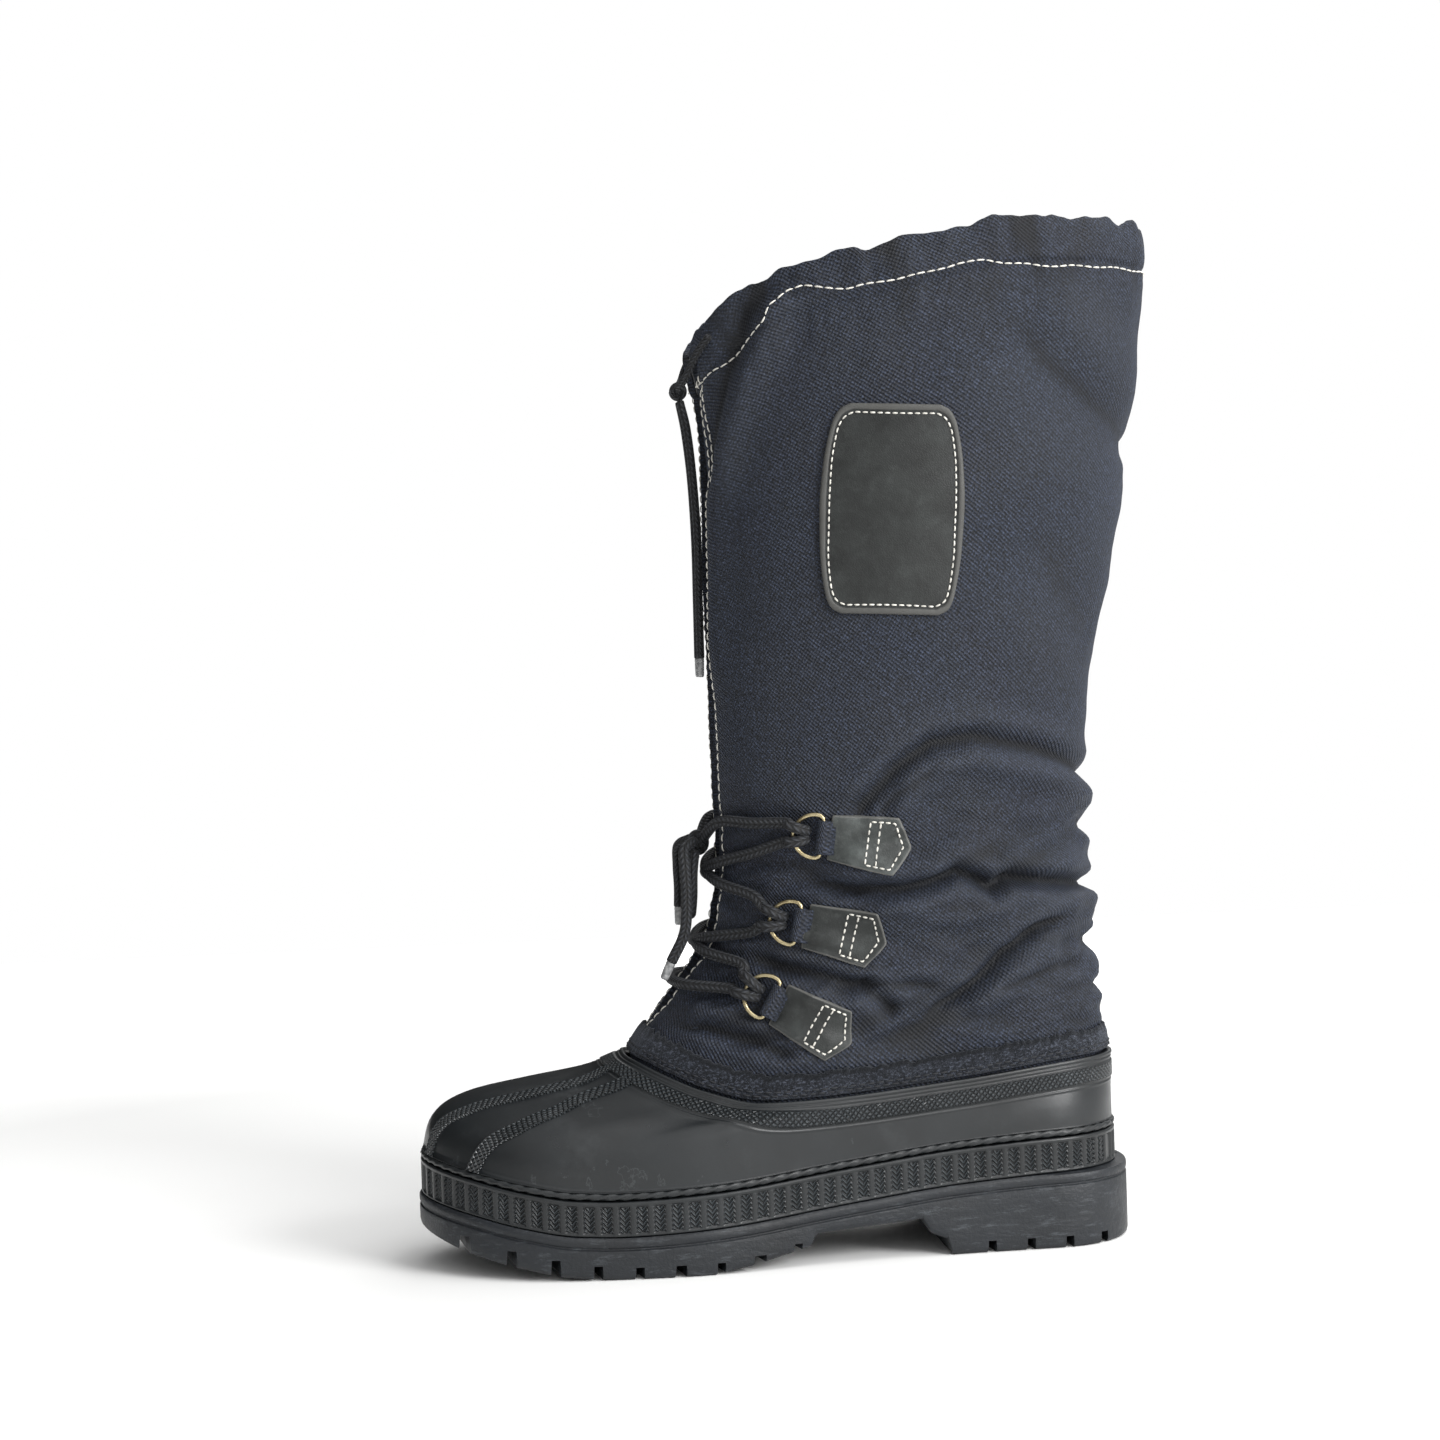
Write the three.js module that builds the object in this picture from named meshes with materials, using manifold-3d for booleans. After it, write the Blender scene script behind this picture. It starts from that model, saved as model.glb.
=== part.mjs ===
// Pac boot, left foot: rubber lower, nylon shaft, ring lacing and drawcord collar.
// Millimetres. +Z is up, the toe points to -X and the lateral side to -Y.

import * as THREE from 'three';
import { mergeVertices } from 'three/addons/utils/BufferGeometryUtils.js';
import Module from 'manifold-3d';

const wasm = await Module();
wasm.setup();

// Driving sizes of the sole
const SOLE_LENGTH = 301;
const BALL_WIDTH = 108;
const TOE_ROUND = 66;
const HEEL_ROUND = 39;
const TOE_OFFSET = 3.5;
const SOLE_THICKNESS = 17;
const HEEL_RAISE = 14.5;
const TOE_SPRING = 16.5;
const TOE_LIFT = 13;
const TREAD_CHAMFER = 2;
const WELT_HEIGHT = 4.4;
const WELT_GROOVE = 0.8;
const LUG_HEIGHT = 5;
const GROOVE_WIDTH = 4.6;
const LUG_PITCH = 16.6;

// Driving sizes of the ribbed band
const FOXING_HEIGHT = 14.6;
const FOXING_WALL = 3;
const FOXING_INSET = 1;
const HEEL_LEDGE = 3.6;
const PANEL_DEPTH = 0.8;
const RIM_LOW = 1.2;
const RIM_HIGH = 2.4;
const RIB_PITCH = 7.1;
const RIB_WIDTH = 2.4;
const FINE_RIB_PITCH = 2.6;
const FINE_RIB_WIDTH = 1.1;
const TOE_PANEL = 20;
const HEEL_PANEL = 46;

// Driving sizes of the rubber shell
const SHELL_HEIGHT = 78;
const SHELL_WALL = 2.6;
const PIPING_HEIGHT = 3.2;
const PIPING_DEPTH = 1.1;
const BAND_DEPTH = 0.8;
const BAND_WIDTH = 6.4;
const BAND_BELOW_TOP = 4.4;
const RIDGE_DEPTH = 0.7;
const RIDGE_WIDTH = 1.6;
const STRIP_WIDTH = 6.4;
const STRIP_DEPTH = 0.8;

// Driving sizes of the shaft and what is sewn to it
const BOOT_HEIGHT = 426;
const SHAFT_WIDTH = 120;
const SHAFT_WALL = 2;
const SHAFT_TUCK = 11;
const TUCK_LEAN = 1.4;
const HEM_HEIGHT = 17.5;
const HEM_DEPTH = 1.2;
const SLIT_HALF = 13;
const SEAM_WIDTH = 5;
const SEAM_DEPTH = 1.6;
const TONGUE_WALL = 1.6;
const JOIN_HEIGHT = 11;
const JOIN_WALL = 2.2;
const INSOLE_THICKNESS = 5;
const PATCH_WIDTH = 56;
const PATCH_HEIGHT = 82;
const PATCH_THICKNESS = 1.5;
const TAB_LENGTH = 33;
const TAB_WIDTH = 23.4;
const TAB_THICKNESS = 1.6;
const RING_WIDTH = 20;
const RING_REACH = 13;
const RING_WIRE = 2.1;
const LOOP_LENGTH = 14;
const LOOP_WALL = 1.1;
const LACE_DIAMETER = 4.6;
const DRAWCORD_DIAMETER = 3.4;
const TIP_LENGTH = 8;

// Clearances
const GAP = 0.3;
const SEW_GAP = 0.4;

// Half widths of the sole as shares of the ball width, by share of the length from the toe
const SOLE_SECTIONS = [
  { at: 0.00, lateral: 0.42, medial: 0.43 },
  { at: 0.15, lateral: 0.480, medial: 0.470 },
  { at: 0.35, lateral: 0.520, medial: 0.462 },
  { at: 0.55, lateral: 0.442, medial: 0.405 },
  { at: 0.75, lateral: 0.382, medial: 0.376 },
  { at: 0.90, lateral: 0.368, medial: 0.362 },
  { at: 1.00, lateral: 0.360, medial: 0.360 },
];

// Side lines of the sole: shares of the toe spring, the toe lift and the heel raise
const SOLE_LINES = [
  { at: 0.00, spring: 1.00, lift: 1.00, raise: 0.00 },
  { at: 0.07, spring: 0.58, lift: 0.67, raise: 0.00 },
  { at: 0.14, spring: 0.28, lift: 0.32, raise: 0.00 },
  { at: 0.21, spring: 0.06, lift: 0.06, raise: 0.00 },
  { at: 0.27, spring: 0.00, lift: 0.00, raise: 0.00 },
  { at: 0.40, spring: 0.00, lift: 0.00, raise: 0.10 },
  { at: 0.60, spring: 0.00, lift: 0.00, raise: 0.53 },
  { at: 0.74, spring: 0.00, lift: 0.00, raise: 0.82 },
  { at: 0.88, spring: 0.00, lift: 0.00, raise: 0.97 },
  { at: 1.00, spring: 0.00, lift: 0.00, raise: 1.00 },
];

// Underside between forefoot and heel: share of the length, and height as a share of the sole's
const ARCH = [
  { at: 0.395, up: 0.02 },
  { at: 0.450, up: 0.15 },
  { at: 0.503, up: 0.38 },
  { at: 0.528, up: 0.49 },
  { at: 0.534, up: 0.76 },
  { at: 0.685, up: 0.92 },
  { at: 0.696, up: 0.56 },
  { at: 0.719, up: 0.39 },
  { at: 0.725, up: 0.02 },
];

// Wall of the shell from the piping (0) to the top edge (1): shares of the way in and of the way up
const SHELL_PROFILE = [
  { at: 0.00, toeIn: 0.00, toeUp: 0.00, sideIn: 0.00, sideUp: 0.00, heelIn: 0.00, heelUp: 0.00 },
  { at: 0.12, toeIn: 0.03, toeUp: 0.28, sideIn: 0.01, sideUp: 0.20, heelIn: 0.03, heelUp: 0.14 },
  { at: 0.25, toeIn: 0.10, toeUp: 0.48, sideIn: 0.07, sideUp: 0.42, heelIn: 0.12, heelUp: 0.29 },
  { at: 0.40, toeIn: 0.24, toeUp: 0.62, sideIn: 0.21, sideUp: 0.63, heelIn: 0.28, heelUp: 0.45 },
  { at: 0.60, toeIn: 0.50, toeUp: 0.73, sideIn: 0.47, sideUp: 0.81, heelIn: 0.52, heelUp: 0.65 },
  { at: 0.80, toeIn: 0.80, toeUp: 0.84, sideIn: 0.76, sideUp: 0.92, heelIn: 0.76, heelUp: 0.83 },
  { at: 1.00, toeIn: 1.00, toeUp: 1.00, sideIn: 1.00, sideUp: 1.00, heelIn: 1.00, heelUp: 1.00 },
];

// Top edges by share from front to back: shell as a share of its height, collar of the boot's
const TOP_LINES = [
  { at: 0.00, shell: 1.080, collar: 0.880 },
  { at: 0.02, shell: 1.060, collar: 0.902 },
  { at: 0.06, shell: 1.010, collar: 0.922 },
  { at: 0.14, shell: 0.925, collar: 0.943 },
  { at: 0.25, shell: 0.862, collar: 0.960 },
  { at: 0.36, shell: 0.868, collar: 0.971 },
  { at: 0.65, shell: 0.922, collar: 0.996 },
  { at: 0.85, shell: 0.972, collar: 1.000 },
  { at: 1.00, shell: 1.000, collar: 0.998 },
];

// Sections of the shaft from the shell's top edge (0) to the collar (1)
// front and back are shares of the sole length, half a share of the shaft's width
const SHAFT_SECTIONS = [
  { at: 0.00, front: 0.302, back: 0.971, half: 0.350 },
  { at: 0.05, front: 0.334, back: 0.968, half: 0.354 },
  { at: 0.10, front: 0.372, back: 0.962, half: 0.362 },
  { at: 0.15, front: 0.405, back: 0.957, half: 0.373 },
  { at: 0.20, front: 0.422, back: 0.954, half: 0.382 },
  { at: 0.30, front: 0.428, back: 0.951, half: 0.402 },
  { at: 0.43, front: 0.427, back: 0.962, half: 0.434 },
  { at: 0.60, front: 0.426, back: 1.000, half: 0.472 },
  { at: 0.72, front: 0.427, back: 1.024, half: 0.490 },
  { at: 0.85, front: 0.426, back: 1.046, half: 0.500 },
  { at: 0.95, front: 0.418, back: 1.056, half: 0.494 },
  { at: 1.00, front: 0.408, back: 1.056, half: 0.482 },
];

// Fullness of a section from front to back: lateral and medial at the ankle, and at the calf
const FULLNESS = [
  { at: 0.00, lateral: 1.06, medial: 1.06, calf: 0.97 },
  { at: 0.25, lateral: 1.09, medial: 1.02, calf: 1.00 },
  { at: 0.45, lateral: 0.95, medial: 0.85, calf: 1.01 },
  { at: 0.65, lateral: 0.87, medial: 0.82, calf: 1.00 },
  { at: 0.85, lateral: 0.86, medial: 0.84, calf: 0.96 },
  { at: 1.00, lateral: 0.85, medial: 0.85, calf: 0.92 },
];

// Outline of the patch: share of its half height, and of its half width
const PATCH_OUTLINE = [
  { at: -1.00, half: 0.66 },
  { at: -0.95, half: 0.82 },
  { at: -0.80, half: 0.90 },
  { at: -0.40, half: 0.98 },
  { at: 0.00, half: 1.00 },
  { at: 0.40, half: 0.97 },
  { at: 0.80, half: 0.88 },
  { at: 0.95, half: 0.79 },
  { at: 1.00, half: 0.62 },
];

// Outline of a tab from its front edge to its point: shares of its length and half width
const TAB_OUTLINE = [
  { at: 0.00, half: 0.80 },
  { at: 0.28, half: 0.87 },
  { at: 0.56, half: 0.95 },
  { at: 0.82, half: 1.00 },
  { at: 0.91, half: 0.55 },
  { at: 1.00, half: 0.06 },
];

// Front edge of each tab: share of the sole length, of the boot height, and slope in degrees
const TABS = [
  { name: 'top', along: 0.571, up: 0.411, slope: -9 },
  { name: 'middle', along: 0.537, up: 0.326, slope: -14 },
  { name: 'bottom', along: 0.497, up: 0.251, slope: -30 },
];

const HALF_STATIONS = 18;
const STATIONS = 2 * HALF_STATIONS;

const RUBBER = new THREE.MeshStandardMaterial({ color: 0x1b1f20, roughness: 0.42, metalness: 0 });
const TREAD = new THREE.MeshStandardMaterial({ color: 0x1c2023, roughness: 0.75, metalness: 0 });
const NYLON = new THREE.MeshStandardMaterial({ color: 0x15171d, roughness: 0.8, metalness: 0 });
const FELT = new THREE.MeshStandardMaterial({ color: 0x17181e, roughness: 1, metalness: 0 });
const LEATHER = new THREE.MeshStandardMaterial({ color: 0x2a2b2a, roughness: 0.6, metalness: 0 });
const BRASS = new THREE.MeshStandardMaterial({ color: 0xb8ab88, roughness: 0.35, metalness: 1 });
const CORD = new THREE.MeshStandardMaterial({ color: 0x101114, roughness: 0.85, metalness: 0 });
const TIP = new THREE.MeshStandardMaterial({ color: 0x8d8d8c, roughness: 0.5, metalness: 0 });

// A smooth curve through one column of a table
function follow(rows, column, at) {
  const last = rows.length - 1;
  const x = Math.min(Math.max(at, rows[0].at), rows[last].at);
  let k = 0;
  while (k < last - 1 && x > rows[k + 1].at) k += 1;
  const slope = (i) => (rows[i + 1][column] - rows[i][column]) / (rows[i + 1].at - rows[i].at);
  const tangent = (i) => {
    if (i === 0) return slope(0);
    if (i === last) return slope(last - 1);
    const before = slope(i - 1);
    const after = slope(i);
    return before * after <= 0 ? 0 : (2 * before * after) / (before + after);
  };
  const span = rows[k + 1].at - rows[k].at;
  const t = (x - rows[k].at) / span;
  const a = rows[k][column];
  const b = rows[k + 1][column];
  return (2 * t ** 3 - 3 * t ** 2 + 1) * a + (t ** 3 - 2 * t ** 2 + t) * span * tangent(k)
    + (3 * t ** 2 - 2 * t ** 3) * b + (t ** 3 - t ** 2) * span * tangent(k + 1);
}

function ease(t) {
  const c = Math.min(Math.max(t, 0), 1);
  return c * c * (3 - 2 * c);
}

function mix(a, b, t) {
  return a + (b - a) * t;
}

// The turn t runs from the toe (0) along the lateral side to the heel (pi) and back medially (2 pi)
function stationTurn(i) {
  return (Math.PI * i) / HALF_STATIONS;
}

function share(t) {
  return (1 - Math.cos(t)) / 2;
}

function isLateral(t) {
  return Math.sin(t) >= 0;
}

// Outline of the outsole in plan
function rawEdge(t) {
  const s = share(t);
  const toe = Math.max(0, 1 - (s * SOLE_LENGTH) / TOE_ROUND);
  const heel = Math.max(0, 1 - ((1 - s) * SOLE_LENGTH) / HEEL_ROUND);
  const round = (1 - toe ** 2.3) ** (1 / 2.1) * (1 - heel ** 2.3) ** (1 / 2.1);
  const middle = TOE_OFFSET * (1 - ease(s / 0.6));
  const side = isLateral(t) ? -1 : 1;
  const half = follow(SOLE_SECTIONS, side < 0 ? 'lateral' : 'medial', s) * BALL_WIDTH;
  return new THREE.Vector2(s * SOLE_LENGTH, middle + (side * half - middle) * round);
}

function edge(t, inset) {
  const before = rawEdge(t - 0.004);
  const after = rawEdge(t + 0.004);
  const along = after.sub(before).normalize();
  const point = rawEdge(t);
  return new THREE.Vector2(point.x - along.y * inset, point.y + along.x * inset);
}

// Heights of the sole's lines above the floor at a place along it
function treadLine(x) {
  return TOE_SPRING * follow(SOLE_LINES, 'spring', x / SOLE_LENGTH);
}

function foxingLine(x) {
  const at = x / SOLE_LENGTH;
  return SOLE_THICKNESS + TOE_LIFT * follow(SOLE_LINES, 'lift', at)
    + HEEL_RAISE * follow(SOLE_LINES, 'raise', at);
}

// Foxing and shell stand further in at the heel, where the outsole has its ledge
function foxingInset(t) {
  return FOXING_INSET + HEEL_LEDGE * ease((share(t) - 0.8) / 0.18);
}

function ring(inset, height) {
  const points = [];
  for (let i = 0; i < STATIONS; i += 1) {
    const t = stationTurn(i);
    const p = edge(t, typeof inset === 'function' ? inset(t) : inset);
    points.push(new THREE.Vector3(p.x, p.y, height(p.x, t)));
  }
  return points;
}

// Surface of the shaft
function rawShaft(t, v) {
  const f = share(t);
  const w = Math.min(Math.max(v, 0), 1);
  const front = follow(SHAFT_SECTIONS, 'front', w) * SOLE_LENGTH;
  const back = follow(SHAFT_SECTIONS, 'back', w) * SOLE_LENGTH;
  const half = follow(SHAFT_SECTIONS, 'half', w) * SHAFT_WIDTH;
  const calf = ease(w / 0.3);
  const ankle = follow(FULLNESS, isLateral(t) ? 'lateral' : 'medial', f);
  const fullness = mix(ankle, follow(FULLNESS, 'calf', f), calf);
  const round = Math.abs(Math.sin(t)) ** mix(0.62, 0.8, calf);
  const side = isLateral(t) ? -1 : 1;
  const low = follow(TOP_LINES, 'shell', f) * SHELL_HEIGHT;
  const high = follow(TOP_LINES, 'collar', f) * BOOT_HEIGHT;
  return new THREE.Vector3(
    front + (back - front) * f,
    side * half * fullness * round + TOE_OFFSET * (1 - f) ** 4 * (1 - calf),
    low + (high - low) * v,
  );
}

function offsetPoint(surface, t, v, out) {
  const dt = 0.01;
  const dv = 0.004;
  const along = surface(t + dt, v).sub(surface(t - dt, v));
  const up = surface(t, v + dv).sub(surface(t, v - dv));
  const normal = along.cross(up).normalize();
  return surface(t, v).addScaledVector(normal, out);
}

// Level with the shell's top edge and below it the shaft's wall is measured level, higher up square to it
function shaft(t, v, out) {
  const square = offsetPoint(rawShaft, t, Math.max(v, 0.004), out);
  const rise = ease(v / 0.06);
  if (rise === 1) return square;
  const along = rawShaft(t + 0.01, 0).sub(rawShaft(t - 0.01, 0)).setZ(0).normalize();
  const level = rawShaft(t, v).add(new THREE.Vector3(along.y, -along.x, 0).multiplyScalar(out));
  return level.lerp(square, rise);
}

// The share of the shaft's height that a number of millimetres makes at a turn
function shaftShare(t, millimetres) {
  const f = share(t);
  const low = follow(TOP_LINES, 'shell', f) * SHELL_HEIGHT;
  const high = follow(TOP_LINES, 'collar', f) * BOOT_HEIGHT;
  return millimetres / (high - low);
}

// The turn and share at a place on the side of the shaft
function shaftPlace(x, z, side) {
  let t = side < 0 ? Math.PI / 2 : 1.5 * Math.PI;
  let v = 0.5;
  for (let k = 0; k < 40; k += 1) {
    const f = share(t);
    const low = follow(TOP_LINES, 'shell', f) * SHELL_HEIGHT;
    const high = follow(TOP_LINES, 'collar', f) * BOOT_HEIGHT;
    v = (z - low) / (high - low);
    const front = follow(SHAFT_SECTIONS, 'front', v) * SOLE_LENGTH;
    const back = follow(SHAFT_SECTIONS, 'back', v) * SOLE_LENGTH;
    const turn = Math.acos(Math.min(Math.max(1 - (2 * (x - front)) / (back - front), -1), 1));
    t = side < 0 ? turn : 2 * Math.PI - turn;
  }
  return { t, v };
}

function onShaft(x, z, side, out) {
  const place = shaftPlace(x, z, side);
  return shaft(place.t, place.v, out);
}

// Wall of the shell above the piping
const SHELL_OUT = SHELL_WALL + GAP;
const BODY_START = FOXING_HEIGHT + GAP + PIPING_HEIGHT;

function rawShell(t, v) {
  const s = share(t);
  const base = edge(t, foxingInset(t) + 0.9);
  const baseZ = foxingLine(base.x) + BODY_START;
  const top = shaft(t, 0, SHELL_OUT);
  const toe = ease((0.46 - s) / 0.4);
  const heel = ease((s - 0.5) / 0.3);
  const side = 1 - toe - heel;
  const row = (name) => toe * follow(SHELL_PROFILE, `toe${name}`, v)
    + side * follow(SHELL_PROFILE, `side${name}`, v) + heel * follow(SHELL_PROFILE, `heel${name}`, v);
  const inward = row('In');
  return new THREE.Vector3(
    mix(base.x, top.x, inward),
    mix(base.y, top.y, inward),
    mix(baseZ, top.z, row('Up')),
  );
}

function shell(t, v, out) {
  return offsetPoint(rawShell, t, v, out);
}

// The share at which the shell's wall is a given distance below its top edge
function shellDepth(t, depth) {
  const steps = 60;
  let length = 0;
  let last = rawShell(t, 1);
  for (let k = 1; k <= steps; k += 1) {
    const v = 1 - k / steps;
    const point = rawShell(t, v);
    const piece = point.distanceTo(last);
    if (length + piece >= depth) return v + (1 / steps) * (1 - (depth - length) / piece);
    length += piece;
    last = point;
  }
  return 0;
}

// Solids
function solid(points, faces) {
  const geometry = new THREE.BufferGeometry();
  geometry.setAttribute('position', new THREE.Float32BufferAttribute(points.flatMap((p) => [p.x, p.y, p.z]), 3));
  let volume = 0;
  for (const [a, b, c] of faces) {
    volume += points[a].dot(new THREE.Vector3().crossVectors(points[b], points[c]));
  }
  const index = volume < 0 ? faces.flatMap(([a, b, c]) => [a, c, b]) : faces.flat();
  geometry.setIndex(index);
  return geometry;
}

// Closed loops of equal length joined one to the next, and the last to the first
function loopSolid(loops) {
  const count = loops[0].length;
  const faces = [];
  loops.forEach((loop, row) => {
    const next = (row + 1) % loops.length;
    for (let i = 0; i < count; i += 1) {
      const j = (i + 1) % count;
      const a = row * count + i;
      const b = row * count + j;
      const c = next * count + j;
      const d = next * count + i;
      faces.push([a, b, c], [a, c, d]);
    }
  });
  return solid(loops.flat(), faces);
}

// Rings stacked from bottom to top, closed by strips from the lateral to the medial side
function stackSolid(rings) {
  const count = rings[0].length;
  const half = count / 2;
  const faces = [];
  for (let row = 0; row < rings.length - 1; row += 1) {
    for (let i = 0; i < count; i += 1) {
      const j = (i + 1) % count;
      const a = row * count + i;
      const b = row * count + j;
      faces.push([a, b, b + count], [a, b + count, a + count]);
    }
  }
  const cap = (start, flip) => {
    const add = (a, b, c) => faces.push(flip ? [start + a, start + c, start + b] : [start + a, start + b, start + c]);
    add(0, count - 1, 1);
    for (let k = 1; k < half - 1; k += 1) {
      add(k, count - k, count - k - 1);
      add(k, count - k - 1, k + 1);
    }
    add(half - 1, half + 1, half);
  };
  cap(0, false);
  cap((rings.length - 1) * count, true);
  return solid(rings.flat(), faces);
}

// A plate between two grids of points, row by row
function plateSolid(outer, inner) {
  const rows = outer.length;
  const columns = outer[0].length;
  const total = rows * columns;
  const faces = [];
  const quad = (a, b, c, d) => faces.push([a, b, c], [a, c, d]);
  for (let r = 0; r < rows - 1; r += 1) {
    for (let c = 0; c < columns - 1; c += 1) {
      const a = r * columns + c;
      quad(a, a + 1, a + columns + 1, a + columns);
      quad(total + a, total + a + columns, total + a + columns + 1, total + a + 1);
    }
  }
  const border = [];
  for (let c = 0; c < columns; c += 1) border.push(c);
  for (let r = 1; r < rows; r += 1) border.push(r * columns + columns - 1);
  for (let c = columns - 2; c >= 0; c -= 1) border.push((rows - 1) * columns + c);
  for (let r = rows - 2; r > 0; r -= 1) border.push(r * columns);
  border.forEach((a, k) => {
    const b = border[(k + 1) % border.length];
    quad(b, a, total + a, total + b);
  });
  return solid([...outer.flat(), ...inner.flat()], faces);
}

function toManifold(geometry) {
  const plain = new THREE.BufferGeometry();
  plain.setAttribute('position', geometry.getAttribute('position'));
  if (geometry.index) plain.setIndex(geometry.index);
  const merged = mergeVertices(plain, 1e-5);
  return new wasm.Manifold(new wasm.Mesh({
    numProp: 3,
    vertProperties: new Float32Array(merged.getAttribute('position').array),
    triVerts: new Uint32Array(merged.index.array),
  }));
}

function fromManifold(manifold) {
  const mesh = manifold.getMesh();
  const geometry = new THREE.BufferGeometry();
  geometry.setAttribute('position', new THREE.BufferAttribute(new Float32Array(mesh.vertProperties), 3));
  geometry.setIndex(new THREE.BufferAttribute(new Uint32Array(mesh.triVerts), 1));
  return geometry;
}

function boxGeometry(size, matrix) {
  return new THREE.BoxGeometry(size.x, size.y, size.z).applyMatrix4(matrix);
}

// Outsole: tread unit with a welt on top, cut by the arch and the grooves
function makeOutsole() {
  const weltFoot = (x) => foxingLine(x) - WELT_HEIGHT;
  const body = stackSolid([
    ring(TREAD_CHAMFER, (x) => treadLine(x)),
    ring(0, (x) => treadLine(x) + TREAD_CHAMFER * 1.2),
    ring(0, (x) => weltFoot(x) - WELT_GROOVE),
    ring(WELT_GROOVE, (x) => weltFoot(x)),
    ring(0.1, (x) => weltFoot(x) + WELT_GROOVE),
    ring(0.1, (x) => foxingLine(x) - 1),
    ring((t) => Math.max(1, foxingInset(t) - 1), (x) => foxingLine(x)),
  ]);
  let cut = toManifold(body);
  const wide = BALL_WIDTH * 1.4;

  const archShape = new THREE.Shape();
  archShape.moveTo(ARCH[0].at * SOLE_LENGTH, -SOLE_THICKNESS);
  ARCH.forEach((row) => archShape.lineTo(row.at * SOLE_LENGTH, row.up * SOLE_THICKNESS));
  archShape.lineTo(ARCH[ARCH.length - 1].at * SOLE_LENGTH, -SOLE_THICKNESS);
  const arch = new THREE.ExtrudeGeometry(archShape, { depth: wide, bevelEnabled: false });
  arch.rotateX(Math.PI / 2);
  arch.translate(0, wide / 2, 0);
  cut = cut.subtract(toManifold(arch));

  // Grooves across the sole, in two halves that meet in a shallow chevron
  const grooveAt = (x, angle) => {
    const ceiling = underside(x) + LUG_HEIGHT;
    const height = ceiling + SOLE_THICKNESS;
    for (const side of [-1, 1]) {
      const turn = new THREE.Matrix4().makeRotationZ(-side * angle);
      const place = new THREE.Matrix4().makeTranslation(x, 0, ceiling - height / 2);
      const out = new THREE.Matrix4().makeTranslation(0, (side * (wide / 2 - 2)) / 2, 0);
      const size = new THREE.Vector3(GROOVE_WIDTH, wide / 2, height);
      cut = cut.subtract(toManifold(boxGeometry(size, place.multiply(turn).multiply(out))));
    }
  };
  for (let x = LUG_PITCH * 0.75; x < ARCH[3].at * SOLE_LENGTH - GROOVE_WIDTH; x += LUG_PITCH) {
    grooveAt(x, 0.16);
  }
  for (let x = SOLE_LENGTH * 0.768; x < SOLE_LENGTH * 0.96; x += LUG_PITCH) grooveAt(x, 0.1);

  // Two grooves along the forefoot and one along the heel
  const lengthwise = (from, to, y) => {
    const steps = 6;
    const shape = new THREE.Shape();
    shape.moveTo(from, -SOLE_THICKNESS);
    for (let k = 0; k <= steps; k += 1) {
      const x = mix(from, to, k / steps);
      shape.lineTo(x, underside(x) + LUG_HEIGHT * 0.96);
    }
    shape.lineTo(to, -SOLE_THICKNESS);
    const groove = new THREE.ExtrudeGeometry(shape, { depth: GROOVE_WIDTH, bevelEnabled: false });
    groove.rotateX(Math.PI / 2);
    groove.translate(0, y + GROOVE_WIDTH / 2, 0);
    cut = cut.subtract(toManifold(groove));
  };
  lengthwise(SOLE_LENGTH * 0.06, SOLE_LENGTH * 0.5, -BALL_WIDTH * 0.16);
  lengthwise(SOLE_LENGTH * 0.06, SOLE_LENGTH * 0.5, BALL_WIDTH * 0.16);
  lengthwise(SOLE_LENGTH * 0.76, SOLE_LENGTH * 0.94, 0);
  return fromManifold(cut);
}

function underside(x) {
  const at = x / SOLE_LENGTH;
  if (at <= ARCH[0].at || at >= ARCH[ARCH.length - 1].at) return treadLine(x);
  let k = 0;
  while (at > ARCH[k + 1].at) k += 1;
  const t = (at - ARCH[k].at) / (ARCH[k + 1].at - ARCH[k].at);
  return mix(ARCH[k].up, ARCH[k + 1].up, t) * SOLE_THICKNESS;
}

// Lengths along the foxing's outline, to space the ribs evenly
function outlineLengths(inset) {
  const steps = 720;
  const lengths = [0];
  let last = edge(0, inset(0));
  for (let k = 1; k <= steps; k += 1) {
    const t = (2 * Math.PI * k) / steps;
    const point = edge(t, inset(t));
    lengths.push(lengths[k - 1] + point.distanceTo(last));
    last = point;
  }
  const turnAt = (length) => {
    let k = 0;
    while (k < steps - 1 && lengths[k + 1] < length) k += 1;
    return (2 * Math.PI * (k + (length - lengths[k]) / (lengths[k + 1] - lengths[k]))) / steps;
  };
  return { total: lengths[steps], heel: lengths[steps / 2], turnAt };
}

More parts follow.
